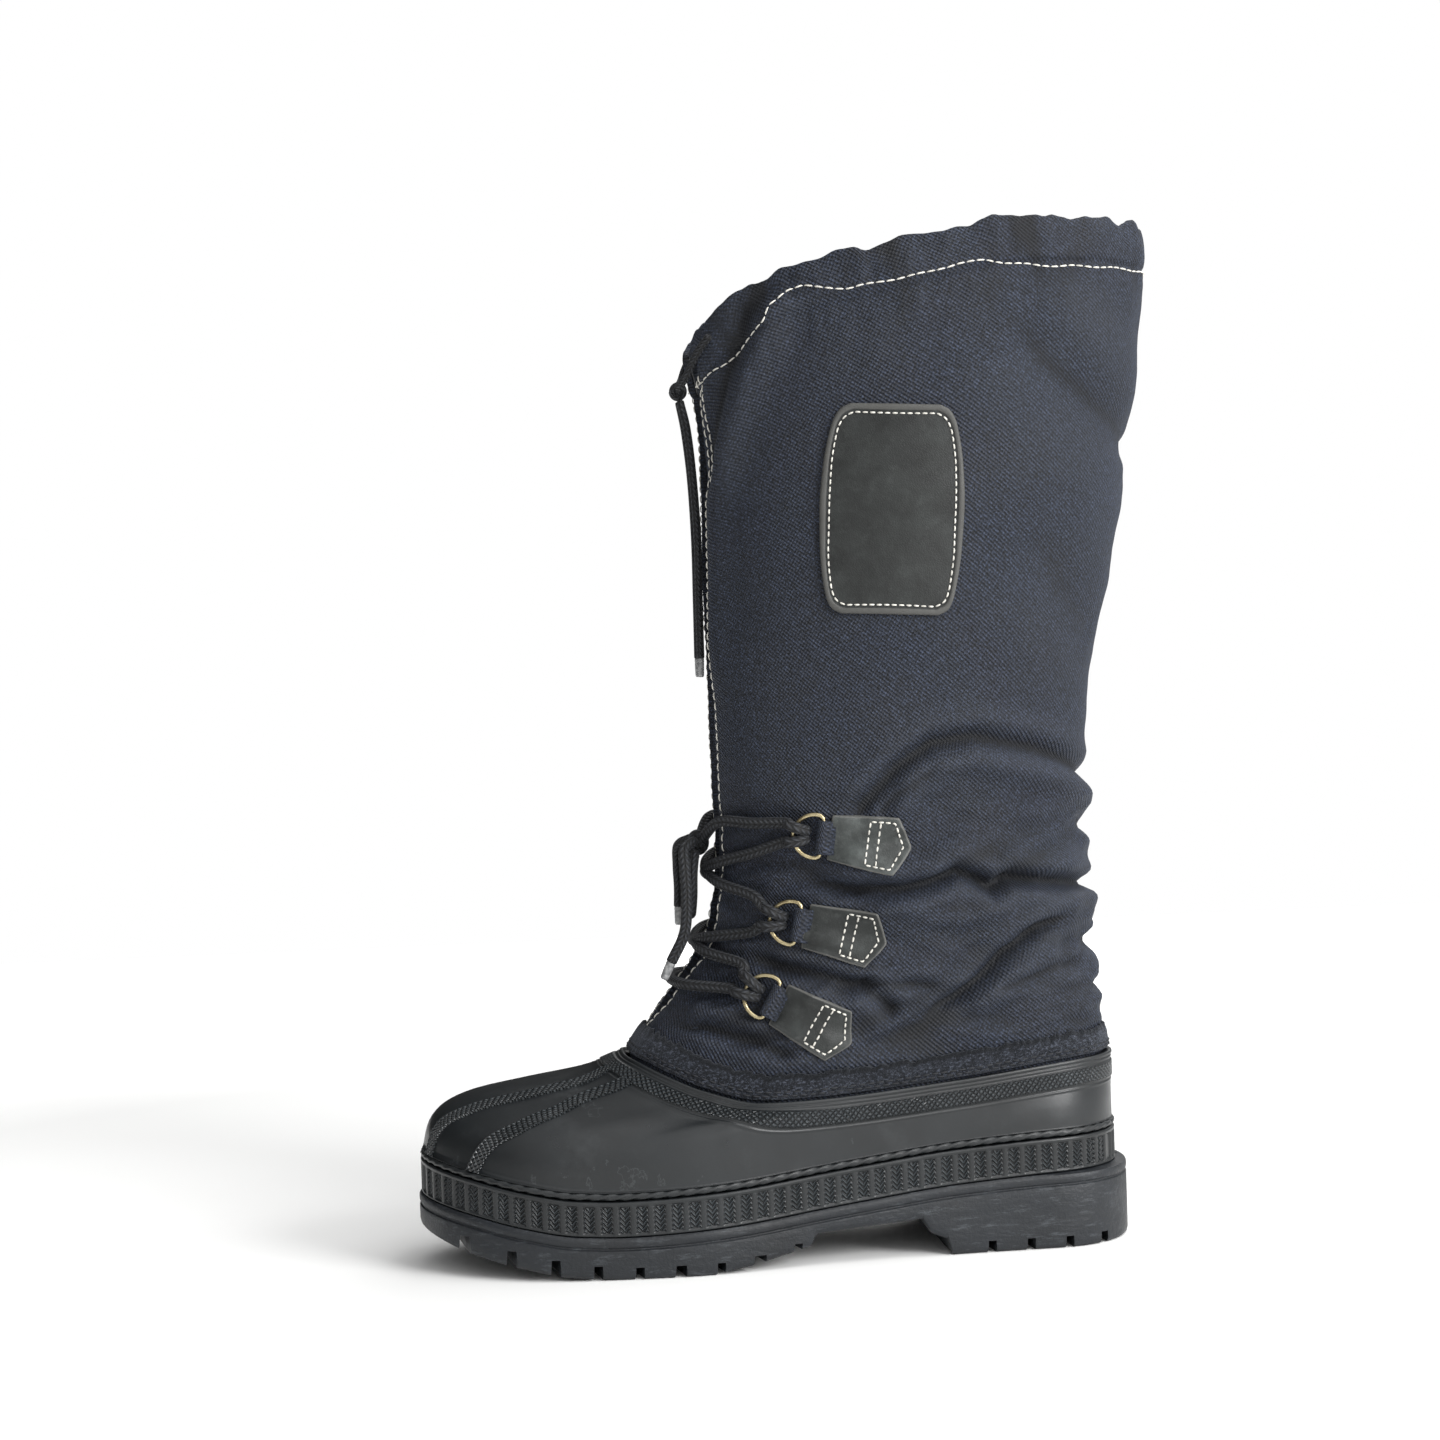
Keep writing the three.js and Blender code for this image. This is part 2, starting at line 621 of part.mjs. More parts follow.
function makeFoxing() {
  const rise = (height) => (x) => foxingLine(x) + GAP + height;
  const inset = (more) => (t) => foxingInset(t) + more;
  const panelTop = FOXING_HEIGHT - RIM_HIGH;
  let band = toManifold(loopSolid([
    ring(inset(0), rise(0)),
    ring(inset(0), rise(RIM_LOW)),
    ring(inset(PANEL_DEPTH), rise(RIM_LOW)),
    ring(inset(PANEL_DEPTH), rise(panelTop)),
    ring(inset(0), rise(panelTop)),
    ring(inset(0.2), rise(FOXING_HEIGHT - GAP)),
    ring(inset(FOXING_WALL), rise(FOXING_HEIGHT - GAP)),
    ring(inset(FOXING_WALL), rise(0)),
  ]));
  const lengths = outlineLengths(inset(0));
  const addRib = (length, width) => {
    const t = lengths.turnAt(((length % lengths.total) + lengths.total) % lengths.total);
    const before = edge(t - 0.01, foxingInset(t));
    const after = edge(t + 0.01, foxingInset(t));
    const along = Math.atan2(after.y - before.y, after.x - before.x);
    const depth = PANEL_DEPTH + 0.8;
    const middle = edge(t, foxingInset(t) - 0.15 + depth / 2);
    const height = panelTop - RIM_LOW - 0.5;
    const low = foxingLine(middle.x) + GAP + RIM_LOW + 0.25;
    const matrix = new THREE.Matrix4().makeTranslation(middle.x, middle.y, low + height / 2)
      .multiply(new THREE.Matrix4().makeRotationZ(along));
    band = band.add(toManifold(boxGeometry(new THREE.Vector3(width, depth, height), matrix)));
  };
  const fine = (centre, panel) => {
    const count = Math.floor(panel / 2 / FINE_RIB_PITCH);
    for (let k = -count; k <= count; k += 1) addRib(centre + k * FINE_RIB_PITCH, FINE_RIB_WIDTH);
  };
  fine(0, TOE_PANEL);
  const heelCount = Math.floor(HEEL_PANEL / 2 / (RIB_PITCH * 0.7));
  for (let k = -heelCount; k <= heelCount; k += 1) {
    addRib(lengths.heel + k * RIB_PITCH * 0.7, FINE_RIB_WIDTH);
  }
  const sideRibs = (from, to) => {
    const count = Math.round((to - from) / RIB_PITCH);
    for (let k = 0; k <= count; k += 1) addRib(mix(from, to, k / count), RIB_WIDTH);
  };
  sideRibs(TOE_PANEL / 2 + RIB_PITCH * 0.6, lengths.heel - HEEL_PANEL / 2 - RIB_PITCH * 0.5);
  sideRibs(lengths.heel + HEEL_PANEL / 2 + RIB_PITCH * 0.5, lengths.total - TOE_PANEL / 2 - RIB_PITCH * 0.6);
  return fromManifold(band);
}

function shellLoop(place) {
  const points = [];
  for (let i = 0; i < STATIONS; i += 1) points.push(place(stationTurn(i)));
  return points;
}

function makeShell() {
  const low = (x) => foxingLine(x) + GAP;
  const tuck = (more) => (t) => foxingInset(t) + FOXING_WALL + GAP + more;
  const inset = (more) => (t) => foxingInset(t) + more;
  const over = (height) => (x) => foxingLine(x) + FOXING_HEIGHT + GAP + height;
  const bandLow = BAND_BELOW_TOP + BAND_WIDTH;
  const loops = [
    ring(tuck(0), low),
    ring(tuck(0), over(0)),
    ring(inset(0.5), over(0)),
    ring(inset(0.9 - PIPING_DEPTH), over(PIPING_HEIGHT * 0.3)),
    ring(inset(0.9 - PIPING_DEPTH), over(PIPING_HEIGHT * 0.7)),
  ];
  const body = [0, 0.14, 0.3, 0.5, 0.76];
  body.forEach((k) => loops.push(shellLoop((t) => shell(t, k * shellDepth(t, bandLow), 0))));
  const steps = [
    { depth: bandLow + 0.1, out: 0 },
    { depth: bandLow - 0.3, out: BAND_DEPTH },
    { depth: BAND_BELOW_TOP + 0.3, out: BAND_DEPTH },
    { depth: BAND_BELOW_TOP - 0.1, out: 0 },
    { depth: RIDGE_WIDTH, out: 0 },
    { depth: RIDGE_WIDTH - 0.2, out: RIDGE_DEPTH },
    { depth: 0, out: RIDGE_DEPTH },
  ];
  steps.forEach((row) => loops.push(shellLoop((t) => shell(t, shellDepth(t, row.depth), row.out))));
  for (const k of [1, 0.8, 0.5, 0.2, 0]) {
    loops.push(shellLoop((t) => shell(t, k, -SHELL_WALL)));
  }
  loops.push(ring(tuck(SHELL_WALL), over(0)));
  loops.push(ring(tuck(SHELL_WALL), low));
  let wall = toManifold(loopSolid(loops));

  // Two raised strips from the throat to the toe, a little wider apart at the toe
  const stripRows = 6;
  for (const side of [-1, 1]) {
    const outer = [];
    const inner = [];
    for (let k = 0; k <= stripRows; k += 1) {
      const v = mix(0.0, shellDepth(0.15, bandLow - 1), k / stripRows);
      const turn = mix(0.34, 0.15, ease(v / 0.9) * 0.4 + 0.6 * Math.sqrt(v));
      const t = side < 0 ? turn : 2 * Math.PI - turn;
      const speed = rawShell(t + 0.01, v).distanceTo(rawShell(t - 0.01, v)) / 0.02;
      const half = STRIP_WIDTH / 2 / speed;
      const corners = [t - half, t + half];
      outer.push(corners.map((c) => shell(c, v, STRIP_DEPTH)));
      inner.push(corners.map((c) => shell(c, v, -SHELL_WALL / 2)));
    }
    wall = wall.add(toManifold(plateSolid(outer, inner)));
  }
  return fromManifold(wall);
}

function makeInsole() {
  const inset = (more) => (t) => foxingInset(t) + FOXING_WALL + GAP + SHELL_WALL + GAP + more;
  return stackSolid([
    ring(inset(0.4), (x) => foxingLine(x) + GAP),
    ring(inset(0.2), (x) => foxingLine(x) + GAP + 1),
    ring(inset(0.2), (x) => foxingLine(x) + GAP + INSOLE_THICKNESS - 1),
    ring(inset(1.2), (x) => foxingLine(x) + GAP + INSOLE_THICKNESS),
  ]);
}

const SHAFT_ROWS = [0, 0.05, 0.1, 0.15, 0.2, 0.3, 0.43, 0.58, 0.74, 0.88];
const SHAFT_INNER_ROWS = [0, 0.1, 0.2, 0.43, 0.74];

// Shaft: a hollow wall with a hem, a ridge down the back and a slit down the front
const SLIT = [
  { at: 0.000, half: 0.16 },
  { at: 0.030, half: 0.45 },
  { at: 0.080, half: 0.80 },
  { at: 0.180, half: 1.00 },
  { at: 0.700, half: 1.00 },
  { at: 0.920, half: 0.80 },
  { at: 1.100, half: 0.80 },
];

function slitFoot() {
  return rawShaft(0, shaftShare(0, JOIN_HEIGHT + 4)).z;
}

function makeShaft() {
  const at = (v, out) => shellLoop((t) => shaft(t, v, out));
  const belowTop = (millimetres, out) => shellLoop((t) => shaft(t, 1 - shaftShare(t, millimetres), out));
  const tuck = (out) => shellLoop((t) => shaft(t, -shaftShare(t, SHAFT_TUCK), out));
  const innerRows = [...SHAFT_INNER_ROWS].reverse();
  const loops = [
    tuck(-TUCK_LEAN),
    ...SHAFT_ROWS.map((v) => at(v, 0)),
    belowTop(HEM_HEIGHT + 0.6, 0),
    belowTop(HEM_HEIGHT, HEM_DEPTH),
    belowTop(1.2, HEM_DEPTH),
    belowTop(0, HEM_DEPTH / 2),
    belowTop(0, -SHAFT_WALL),
    ...innerRows.map((v) => at(v, -SHAFT_WALL)),
    tuck(-SHAFT_WALL - TUCK_LEAN),
  ];
  let wall = toManifold(loopSolid(loops));

  const seamRows = 7;
  const outer = [];
  const inner = [];
  for (let k = 0; k <= seamRows; k += 1) {
    const v = mix(shaftShare(Math.PI, JOIN_HEIGHT + 2), 1 - shaftShare(Math.PI, HEM_HEIGHT * 0.6), k / seamRows);
    const speed = rawShaft(Math.PI + 0.02, v).distanceTo(rawShaft(Math.PI - 0.02, v)) / 0.04;
    const half = SEAM_WIDTH / 2 / speed;
    const turns = [Math.PI - half, Math.PI - half / 3, Math.PI + half / 3, Math.PI + half];
    const lift = [0.1, SEAM_DEPTH, SEAM_DEPTH, 0.1];
    outer.push(turns.map((t, i) => shaft(t, v, lift[i])));
    inner.push(turns.map((t) => shaft(t, v, -SHAFT_WALL / 2)));
  }
  wall = wall.add(toManifold(plateSolid(outer, inner)));

  const foot = slitFoot();
  const height = BOOT_HEIGHT - foot;
  const shape = new THREE.Shape();
  SLIT.forEach((row, i) => {
    const y = -row.half * SLIT_HALF;
    const z = foot + row.at * height;
    if (i === 0) shape.moveTo(y, z);
    else shape.lineTo(y, z);
  });
  [...SLIT].reverse().forEach((row) => shape.lineTo(row.half * SLIT_HALF, foot + row.at * height));
  const reach = SOLE_LENGTH * 0.4;
  const slit = new THREE.ExtrudeGeometry(shape, { depth: reach, bevelEnabled: false });
  slit.applyMatrix4(new THREE.Matrix4().makeBasis(
    new THREE.Vector3(0, 1, 0), new THREE.Vector3(0, 0, 1), new THREE.Vector3(1, 0, 0)));
  slit.translate(SOLE_LENGTH * 0.2, 0, 0);
  wall = wall.subtract(toManifold(slit));
  return fromManifold(wall);
}

// Tongue: a gusset panel that lies inside the shaft behind the slit
function makeTongue() {
  const span = 3;
  const rows = [0.95, ...[...SHAFT_INNER_ROWS].reverse()];
  const grid = (out) => rows.map((v) => {
    const row = [];
    for (let i = -span; i <= span; i += 1) row.push(shaft(stationTurn(i), v, out));
    return row;
  });
  const outer = -(SHAFT_WALL + SEW_GAP);
  return plateSolid(grid(outer), grid(outer - TONGUE_WALL));
}

function makeJoinStrip() {
  const at = (height, out) => shellLoop((t) => shaft(t, shaftShare(t, height), out));
  const low = RIDGE_DEPTH + GAP;
  return loopSolid([
    at(low, SEW_GAP),
    at(low, SEW_GAP + JOIN_WALL),
    at(JOIN_HEIGHT, SEW_GAP + JOIN_WALL * 0.7),
    at(JOIN_HEIGHT, SEW_GAP),
  ]);
}

// A flat piece laid on the side of the shaft: rows of (along, across) in millimetres
function layOnShaft(origin, slope, rows, side, thickness) {
  const turn = THREE.MathUtils.degToRad(slope);
  const grid = (out) => rows.map((row) => row.map(([p, q]) => onShaft(
    origin.x + p * Math.cos(turn) - q * Math.sin(turn),
    origin.z + p * Math.sin(turn) + q * Math.cos(turn),
    side,
    out,
  )));
  return plateSolid(grid(SEW_GAP + thickness), grid(SEW_GAP));
}

function makePatch() {
  const columns = 4;
  const rows = PATCH_OUTLINE.map((row) => {
    const line = [];
    for (let c = 0; c <= columns; c += 1) {
      line.push([mix(-1, 1, c / columns) * row.half * PATCH_WIDTH / 2, row.at * PATCH_HEIGHT / 2]);
    }
    return line;
  });
  const origin = { x: SOLE_LENGTH * 0.664, z: BOOT_HEIGHT * 0.722 };
  return layOnShaft(origin, -3, rows, -1, PATCH_THICKNESS);
}

function tabFrame(tab, side) {
  const x = tab.along * SOLE_LENGTH;
  const z = tab.up * BOOT_HEIGHT;
  const turn = THREE.MathUtils.degToRad(tab.slope);
  const origin = onShaft(x, z, side, 0);
  const reach = 4;
  const ahead = onShaft(x - reach * Math.cos(turn), z - reach * Math.sin(turn), side, 0);
  const above = onShaft(x - reach * Math.sin(turn), z + reach * Math.cos(turn), side, 0);
  const forward = ahead.sub(origin).normalize();
  const across = above.sub(origin);
  across.addScaledVector(forward, -across.dot(forward)).normalize();
  const outward = new THREE.Vector3().crossVectors(forward, across);
  if (outward.y * side < 0) outward.negate();
  return { origin, forward, across, outward };
}

const LOOP_RADIUS = RING_WIRE / 2 + GAP + LOOP_WALL;
const BAR_AHEAD = LOOP_RADIUS + GAP;
const BAR_OUT = LOOP_RADIUS + GAP + 0.5;

function makeTab(tab, side) {
  const rows = TAB_OUTLINE.map((row) => [-1, 0, 1].map((q) => [
    row.at * TAB_LENGTH, q * row.half * TAB_WIDTH / 2,
  ]));
  const origin = { x: tab.along * SOLE_LENGTH, z: tab.up * BOOT_HEIGHT };
  return layOnShaft(origin, tab.slope, rows, side, TAB_THICKNESS);
}

function framePoint(frame, forward, across, outward) {
  return frame.origin.clone()
    .addScaledVector(frame.forward, forward)
    .addScaledVector(frame.across, across)
    .addScaledVector(frame.outward, outward);
}

// A D-shaped wire ring in the tangent plane of its tab
function makeRing(tab, side) {
  const frame = tabFrame(tab, side);
  const radius = (RING_WIDTH - RING_WIRE) / 2;
  const flat = RING_REACH - RING_WIRE / 2 - radius;
  const path = [[0, -radius * 0.78], [0, 0], [0, radius * 0.78], [0.9, radius * 0.95]];
  const arcSteps = 5;
  for (let k = 0; k <= arcSteps; k += 1) {
    const a = Math.PI / 2 - (Math.PI * k) / arcSteps;
    path.push([flat + radius * Math.cos(a), radius * Math.sin(a)]);
  }
  path.push([0.9, -radius * 0.95]);
  const sides = 5;
  const loops = path.map(([p, q], i) => {
    const before = path[(i + path.length - 1) % path.length];
    const after = path[(i + 1) % path.length];
    const along = new THREE.Vector2(after[0] - before[0], after[1] - before[1]).normalize();
    const loop = [];
    for (let k = 0; k < sides; k += 1) {
      const a = (2 * Math.PI * k) / sides;
      const r = (RING_WIRE / 2) * Math.cos(a);
      loop.push(framePoint(frame, BAR_AHEAD + p + along.y * r, q - along.x * r,
        BAR_OUT + (RING_WIRE / 2) * Math.sin(a)));
    }
    return loop;
  });
  return loopSolid(loops);
}

// A rolled nylon loop round the bar of a ring, against the front edge of its tab
function makeRingLoop(tab, side) {
  const frame = tabFrame(tab, side);
  const inner = RING_WIRE / 2 + GAP * 1.7;
  const half = LOOP_LENGTH / 2;
  const profile = [
    new THREE.Vector2(LOOP_RADIUS, -half),
    new THREE.Vector2(LOOP_RADIUS, half),
    new THREE.Vector2(inner, half),
    new THREE.Vector2(inner, -half),
    new THREE.Vector2(LOOP_RADIUS, -half),
  ];
  const roll = new THREE.LatheGeometry(profile, 6);
  const centre = framePoint(frame, BAR_AHEAD, 0, BAR_OUT);
  const third = new THREE.Vector3().crossVectors(frame.forward, frame.across);
  roll.applyMatrix4(new THREE.Matrix4().makeBasis(frame.forward, frame.across, third).setPosition(centre));
  return fromManifold(toManifold(roll));
}

// A tube along a smooth curve through points
function tube(points, diameter, steps, sides = 8) {
  const curve = new THREE.CatmullRomCurve3(points);
  const shape = new THREE.Shape();
  for (let k = 0; k < sides; k += 1) {
    const a = (2 * Math.PI * k) / sides;
    const x = (diameter / 2) * Math.cos(a);
    const y = (diameter / 2) * Math.sin(a);
    if (k === 0) shape.moveTo(x, y);
    else shape.lineTo(x, y);
  }
  shape.closePath();
  return new THREE.ExtrudeGeometry(shape, { steps, extrudePath: curve, bevelEnabled: false });
}

const LACE_CLEAR = LACE_DIAMETER / 2 + GAP + 1;

// Where a strand of the lace starts at a ring, just ahead of its wire
function ringExit(index, side, across) {
  const frame = tabFrame(TABS[index], side);
  const ahead = BAR_AHEAD + RING_REACH + LACE_DIAMETER / 2 + GAP;
  return framePoint(frame, ahead, across, BAR_OUT + 0.6);
}

// Strands to a higher ring leave at the top of a ring, others at its bottom
function exitAcross(from, to) {
  const goesUp = to < from || (to === from && from === 0);
  return goesUp ? 4 : -4;
}

// A strand from a ring on one side over the front to a ring on the other
function strandPoints(from, fromSide, to, out) {
  const start = ringExit(from, fromSide, exitAcross(from, to));
  const end = ringExit(to, -fromSide, exitAcross(to, from));
  const points = [start];
  const turns = [0.62, 0.3, 0, -0.3, -0.62];
  turns.forEach((turn, k) => {
    const z = mix(start.z, end.z, (k + 1) / (turns.length + 1));
    const t = fromSide < 0 ? turn : -turn;
    const f = share(t);
    const low = follow(TOP_LINES, 'shell', f) * SHELL_HEIGHT;
    const high = follow(TOP_LINES, 'collar', f) * BOOT_HEIGHT;
    points.push(shaft(t, (z - low) / (high - low), LACE_CLEAR + out * (1 - Math.abs(turn))));
  });
  points.push(end);
  return points;
}

function makeStrand(from, fromSide, to, out) {
  return tube(strandPoints(from, fromSide, to, out), LACE_DIAMETER, 8);
}

// A place ahead of the shaft's front at a height, out in millimetres from its middle line
function frontPoint(z, y, out) {
  const low = follow(TOP_LINES, 'shell', 0) * SHELL_HEIGHT;
  const high = follow(TOP_LINES, 'collar', 0) * BOOT_HEIGHT;
  const point = rawShaft(0, (z - low) / (high - low));
  return new THREE.Vector3(point.x - out, y, z);
}

// Knot of the lace, and routes of its loops and ends: height, sideways and ahead of the shaft
const KNOT_HEIGHT = 172;
const KNOT_WIDTH = 14;
const KNOT_OUT = 7;
const LACE_LOOP_LATERAL = [
  { z: 166.9, y: -3.4, out: 8.8 },
  { z: 160, y: -3.3, out: 11 },
  { z: 150, y: -3.2, out: 10.4 },
  { z: 142.6, y: -6.8, out: 9.8 },
  { z: 150, y: -10.6, out: 10 },
  { z: 160, y: -11.6, out: 10.4 },
  { z: 168.5, y: -8.6, out: 9.4 },
];
const LACE_LOOP_MEDIAL = [
  { z: 166.9, y: 3.4, out: 8.8 },
  { z: 160, y: 3.3, out: 11 },
  { z: 152, y: 3.2, out: 10.4 },
  { z: 145, y: 6.8, out: 9.8 },
  { z: 152, y: 10.6, out: 10 },
  { z: 160, y: 11.6, out: 10.4 },
  { z: 168.5, y: 8.6, out: 9.4 },
];
const LACE_END_LATERAL = [
  { z: 173, y: -7.7, out: 9.4 },
  { z: 170, y: -13, out: 14 },
  { z: 162, y: -17, out: 14 },
  { z: 150, y: -18, out: 13 },
  { z: 136, y: -18, out: 12 },
  { z: 124, y: -17, out: 12 },
];
const LACE_END_MEDIAL = [
  { z: 173, y: 7.7, out: 9.4 },
  { z: 170, y: 13, out: 14 },
  { z: 162, y: 17, out: 14 },
  { z: 152, y: 18, out: 13 },
  { z: 144, y: 18, out: 12.5 },
];

// Drawcord: knot below the collar, leads out of the hem, and one end, mirrored for the other
const DRAW_HEIGHT = 362;
const DRAW_OUT = 6;
const DRAW_END = [
  { z: 357.4, y: 2.4, out: 6 },
  { z: 345, y: 4.6, out: 5 },
  { z: 325, y: 4.2, out: 4 },
  { z: 300, y: 5.2, out: 3.2 },
  { z: 275, y: 4.4, out: 3.2 },
  { z: 250, y: 5, out: 3.2 },
];

function leadPoints(side) {
  const turnOf = (t) => (side < 0 ? t : -t);
  const clear = HEM_DEPTH + DRAWCORD_DIAMETER / 2 + GAP + 0.4;
  const at = (t, below, out) => shaft(turnOf(t), 1 - shaftShare(turnOf(t), below), out);
  return [
    at(0.42, 8, clear),
    at(0.34, 8.4, clear),
    at(0.25, 9, clear),
    at(0.16, 9.8, clear + 0.6),
    frontPoint(DRAW_HEIGHT + 1.2, side * 4.9, DRAW_OUT),
  ];
}

function joined(parts) {
  let all = toManifold(parts[0]);
  parts.slice(1).forEach((part) => { all = all.add(toManifold(part)); });
  return fromManifold(all);
}

const boot = new THREE.Group();

function addPiece(name, geometry, material) {
  const mesh = new THREE.Mesh(geometry, material);
  mesh.name = name;
  boot.add(mesh);
  return mesh;
}

addPiece('outsole', makeOutsole(), TREAD);
addPiece('foxing', makeFoxing(), RUBBER);
addPiece('shell', makeShell(), RUBBER);
addPiece('insole', makeInsole(), FELT);
addPiece('shaft', makeShaft(), NYLON);
addPiece('tongue', makeTongue(), NYLON);
addPiece('join_strip', makeJoinStrip(), FELT);
addPiece('patch', makePatch(), LEATHER);
for (const side of [-1, 1]) {
  const word = side < 0 ? 'lateral' : 'medial';
  TABS.forEach((tab) => {
    addPiece(`tab_${tab.name}_${word}`, makeTab(tab, side), LEATHER);
    addPiece(`ring_${tab.name}_${word}`, makeRing(tab, side), BRASS);
    addPiece(`ring_loop_${tab.name}_${word}`, makeRingLoop(tab, side), NYLON);
  });
}
addPiece('lace_bar_bottom', makeStrand(2, -1, 2, 0), CORD);
addPiece('lace_cross_lower', joined([makeStrand(2, -1, 1, 0), makeStrand(2, 1, 1, 0)]), CORD);
addPiece('lace_cross_upper', joined([makeStrand(1, -1, 0, 0), makeStrand(1, 1, 0, 0)]), CORD);
// Half of the top bar, from its ring to the side of the knot
for (const side of [-1, 1]) {
  const word = side < 0 ? 'lateral' : 'medial';
  const points = strandPoints(0, side, 0, 0).slice(0, 3);
  points.push(frontPoint(KNOT_HEIGHT + 1, side * (KNOT_WIDTH / 2 + GAP), LACE_CLEAR + 1.4));
  addPiece(`lace_bar_top_${word}`, tube(points, LACE_DIAMETER, 6), CORD);
}

// Cords that hang free
function lump(centre, width, height, depth) {
  const ball = new THREE.SphereGeometry(0.5, 8, 6);
  ball.applyMatrix4(new THREE.Matrix4().makeScale(depth, width, height));
  ball.translate(centre.x, centre.y, centre.z);
  return ball;
}

const route = (rows) => rows.map((row) => frontPoint(row.z, row.y, row.out));

// A plain round tip in line with the end of a cord
function makeTip(points, diameter) {
  const end = points[points.length - 1];
  const along = end.clone().sub(points[points.length - 2]).normalize();
  const tip = new THREE.CylinderGeometry(diameter * 0.36, diameter * 0.46, TIP_LENGTH, 8);
  const turn = new THREE.Quaternion().setFromUnitVectors(new THREE.Vector3(0, -1, 0), along);
  tip.applyQuaternion(turn);
  const centre = end.clone().addScaledVector(along, GAP + TIP_LENGTH / 2);
  tip.translate(centre.x, centre.y, centre.z);
  return tip;
}

addPiece('lace_knot', lump(frontPoint(KNOT_HEIGHT, 0, KNOT_OUT), KNOT_WIDTH, 11, 10), CORD);
addPiece('lace_loop_lateral', tube(route(LACE_LOOP_LATERAL), LACE_DIAMETER, 11), CORD);
addPiece('lace_loop_medial', tube(route(LACE_LOOP_MEDIAL), LACE_DIAMETER, 11), CORD);
addPiece('lace_end_lateral', tube(route(LACE_END_LATERAL), LACE_DIAMETER, 8), CORD);
addPiece('lace_end_medial', tube(route(LACE_END_MEDIAL), LACE_DIAMETER, 6), CORD);
addPiece('lace_tip_lateral', makeTip(route(LACE_END_LATERAL), LACE_DIAMETER), TIP);
addPiece('lace_tip_medial', makeTip(route(LACE_END_MEDIAL), LACE_DIAMETER), TIP);

addPiece('drawcord_knot', lump(frontPoint(DRAW_HEIGHT, 0, DRAW_OUT), 9, 9, 8), CORD);
for (const side of [-1, 1]) {
  const word = side < 0 ? 'lateral' : 'medial';
  const mirrored = (rows) => rows.map((row) => ({ ...row, y: row.y * side }));
  addPiece(`drawcord_lead_${word}`, tube(leadPoints(side), DRAWCORD_DIAMETER, 6), CORD);
  addPiece(`drawcord_end_${word}`, tube(route(mirrored(DRAW_END)), DRAWCORD_DIAMETER, 10), CORD);
  addPiece(`drawcord_tip_${word}`, makeTip(route(mirrored(DRAW_END)), DRAWCORD_DIAMETER), TIP);
}

// The origin lies under the middle of what isn't cord, on the floor
const extent = new THREE.Box3();
boot.children.filter((mesh) => !mesh.name.startsWith('lace') && !mesh.name.startsWith('drawcord'))
  .forEach((mesh) => extent.expandByObject(mesh));
const middle = extent.getCenter(new THREE.Vector3());
boot.position.set(-middle.x, -middle.y, -extent.min.z);

export default boot;
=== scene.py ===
import math

import bpy
import numpy as np
from bpy.props import FloatProperty, FloatVectorProperty, IntProperty, PointerProperty
from bpy.types import Operator, Panel, PropertyGroup
from mathutils import Matrix, Vector, noise


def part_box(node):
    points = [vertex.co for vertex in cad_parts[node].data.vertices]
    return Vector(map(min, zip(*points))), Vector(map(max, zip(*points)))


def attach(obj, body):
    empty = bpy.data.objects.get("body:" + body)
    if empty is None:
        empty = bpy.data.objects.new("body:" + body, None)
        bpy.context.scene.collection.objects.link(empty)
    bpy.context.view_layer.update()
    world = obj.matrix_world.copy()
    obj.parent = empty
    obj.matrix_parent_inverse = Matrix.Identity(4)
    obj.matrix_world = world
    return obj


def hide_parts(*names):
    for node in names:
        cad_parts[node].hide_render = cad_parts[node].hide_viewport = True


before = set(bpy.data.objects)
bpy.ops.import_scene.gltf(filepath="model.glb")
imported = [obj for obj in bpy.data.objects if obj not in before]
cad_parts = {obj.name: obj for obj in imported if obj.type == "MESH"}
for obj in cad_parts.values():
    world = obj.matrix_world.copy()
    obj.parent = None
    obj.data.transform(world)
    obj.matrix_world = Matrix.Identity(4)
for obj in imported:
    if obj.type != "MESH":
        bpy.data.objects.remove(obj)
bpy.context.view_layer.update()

bl_info = {
    "name": "Pac boot",
    "version": (1, 0, 0),
    "blender": (4, 5, 0),
    "location": "3D View > Sidebar > Boot",
    "description": "A left pac boot: rubber lower, nylon shaft, ring lacing and a drawcord collar",
    "category": "Object",
}

# The camera: azimuth, elevation and roll in degrees, the place it looks at and its distance in metres
CAMERA_TURNS = (-6.0, 1.5, 1.83)
CAMERA_AIM = (132.98, 0.0, 223.33)
CAMERA_DISTANCE = 1.20385
CAMERA_LENS = 71.25

# Sizes in millimetres in the boot's own frame: the toe tip at x 0, the floor at z 0
SOLE_LENGTH = 301.0
BALL_WIDTH = 108.0
TOE_ROUND = 66.0
HEEL_ROUND = 39.0
TOE_OFFSET = 3.5
SOLE_THICKNESS = 17.0
HEEL_RAISE = 14.5
TOE_SPRING = 16.5
TOE_LIFT = 13.0
WELT_HEIGHT = 4.4
LUG_HEIGHT = 5.0
GROOVE_WIDTH = 4.6
LUG_PITCH = 16.6
FOXING_HEIGHT = 14.6
FOXING_WALL = 3.0
FOXING_INSET = 1.0
HEEL_LEDGE = 3.6
PANEL_DEPTH = 0.8
RIM_HIGH = 2.4
RIB_PITCH = 7.1
RIB_WIDTH = 2.4
FINE_RIB_PITCH = 2.6
FINE_RIB_WIDTH = 1.1
TOE_PANEL = 20.0
HEEL_PANEL = 46.0
SHELL_HEIGHT = 78.0
SHELL_WALL = 2.6
GAP = 0.3
SEW_GAP = 0.4
PIPING_HEIGHT = 3.2
BAND_WIDTH = 6.4
BAND_BELOW_TOP = 4.4
STRIP_WIDTH = 6.4
BOOT_HEIGHT = 426.0
SHAFT_WIDTH = 120.0
HEM_HEIGHT = 17.5
SLIT_HALF = 13.0
JOIN_HEIGHT = 11.0
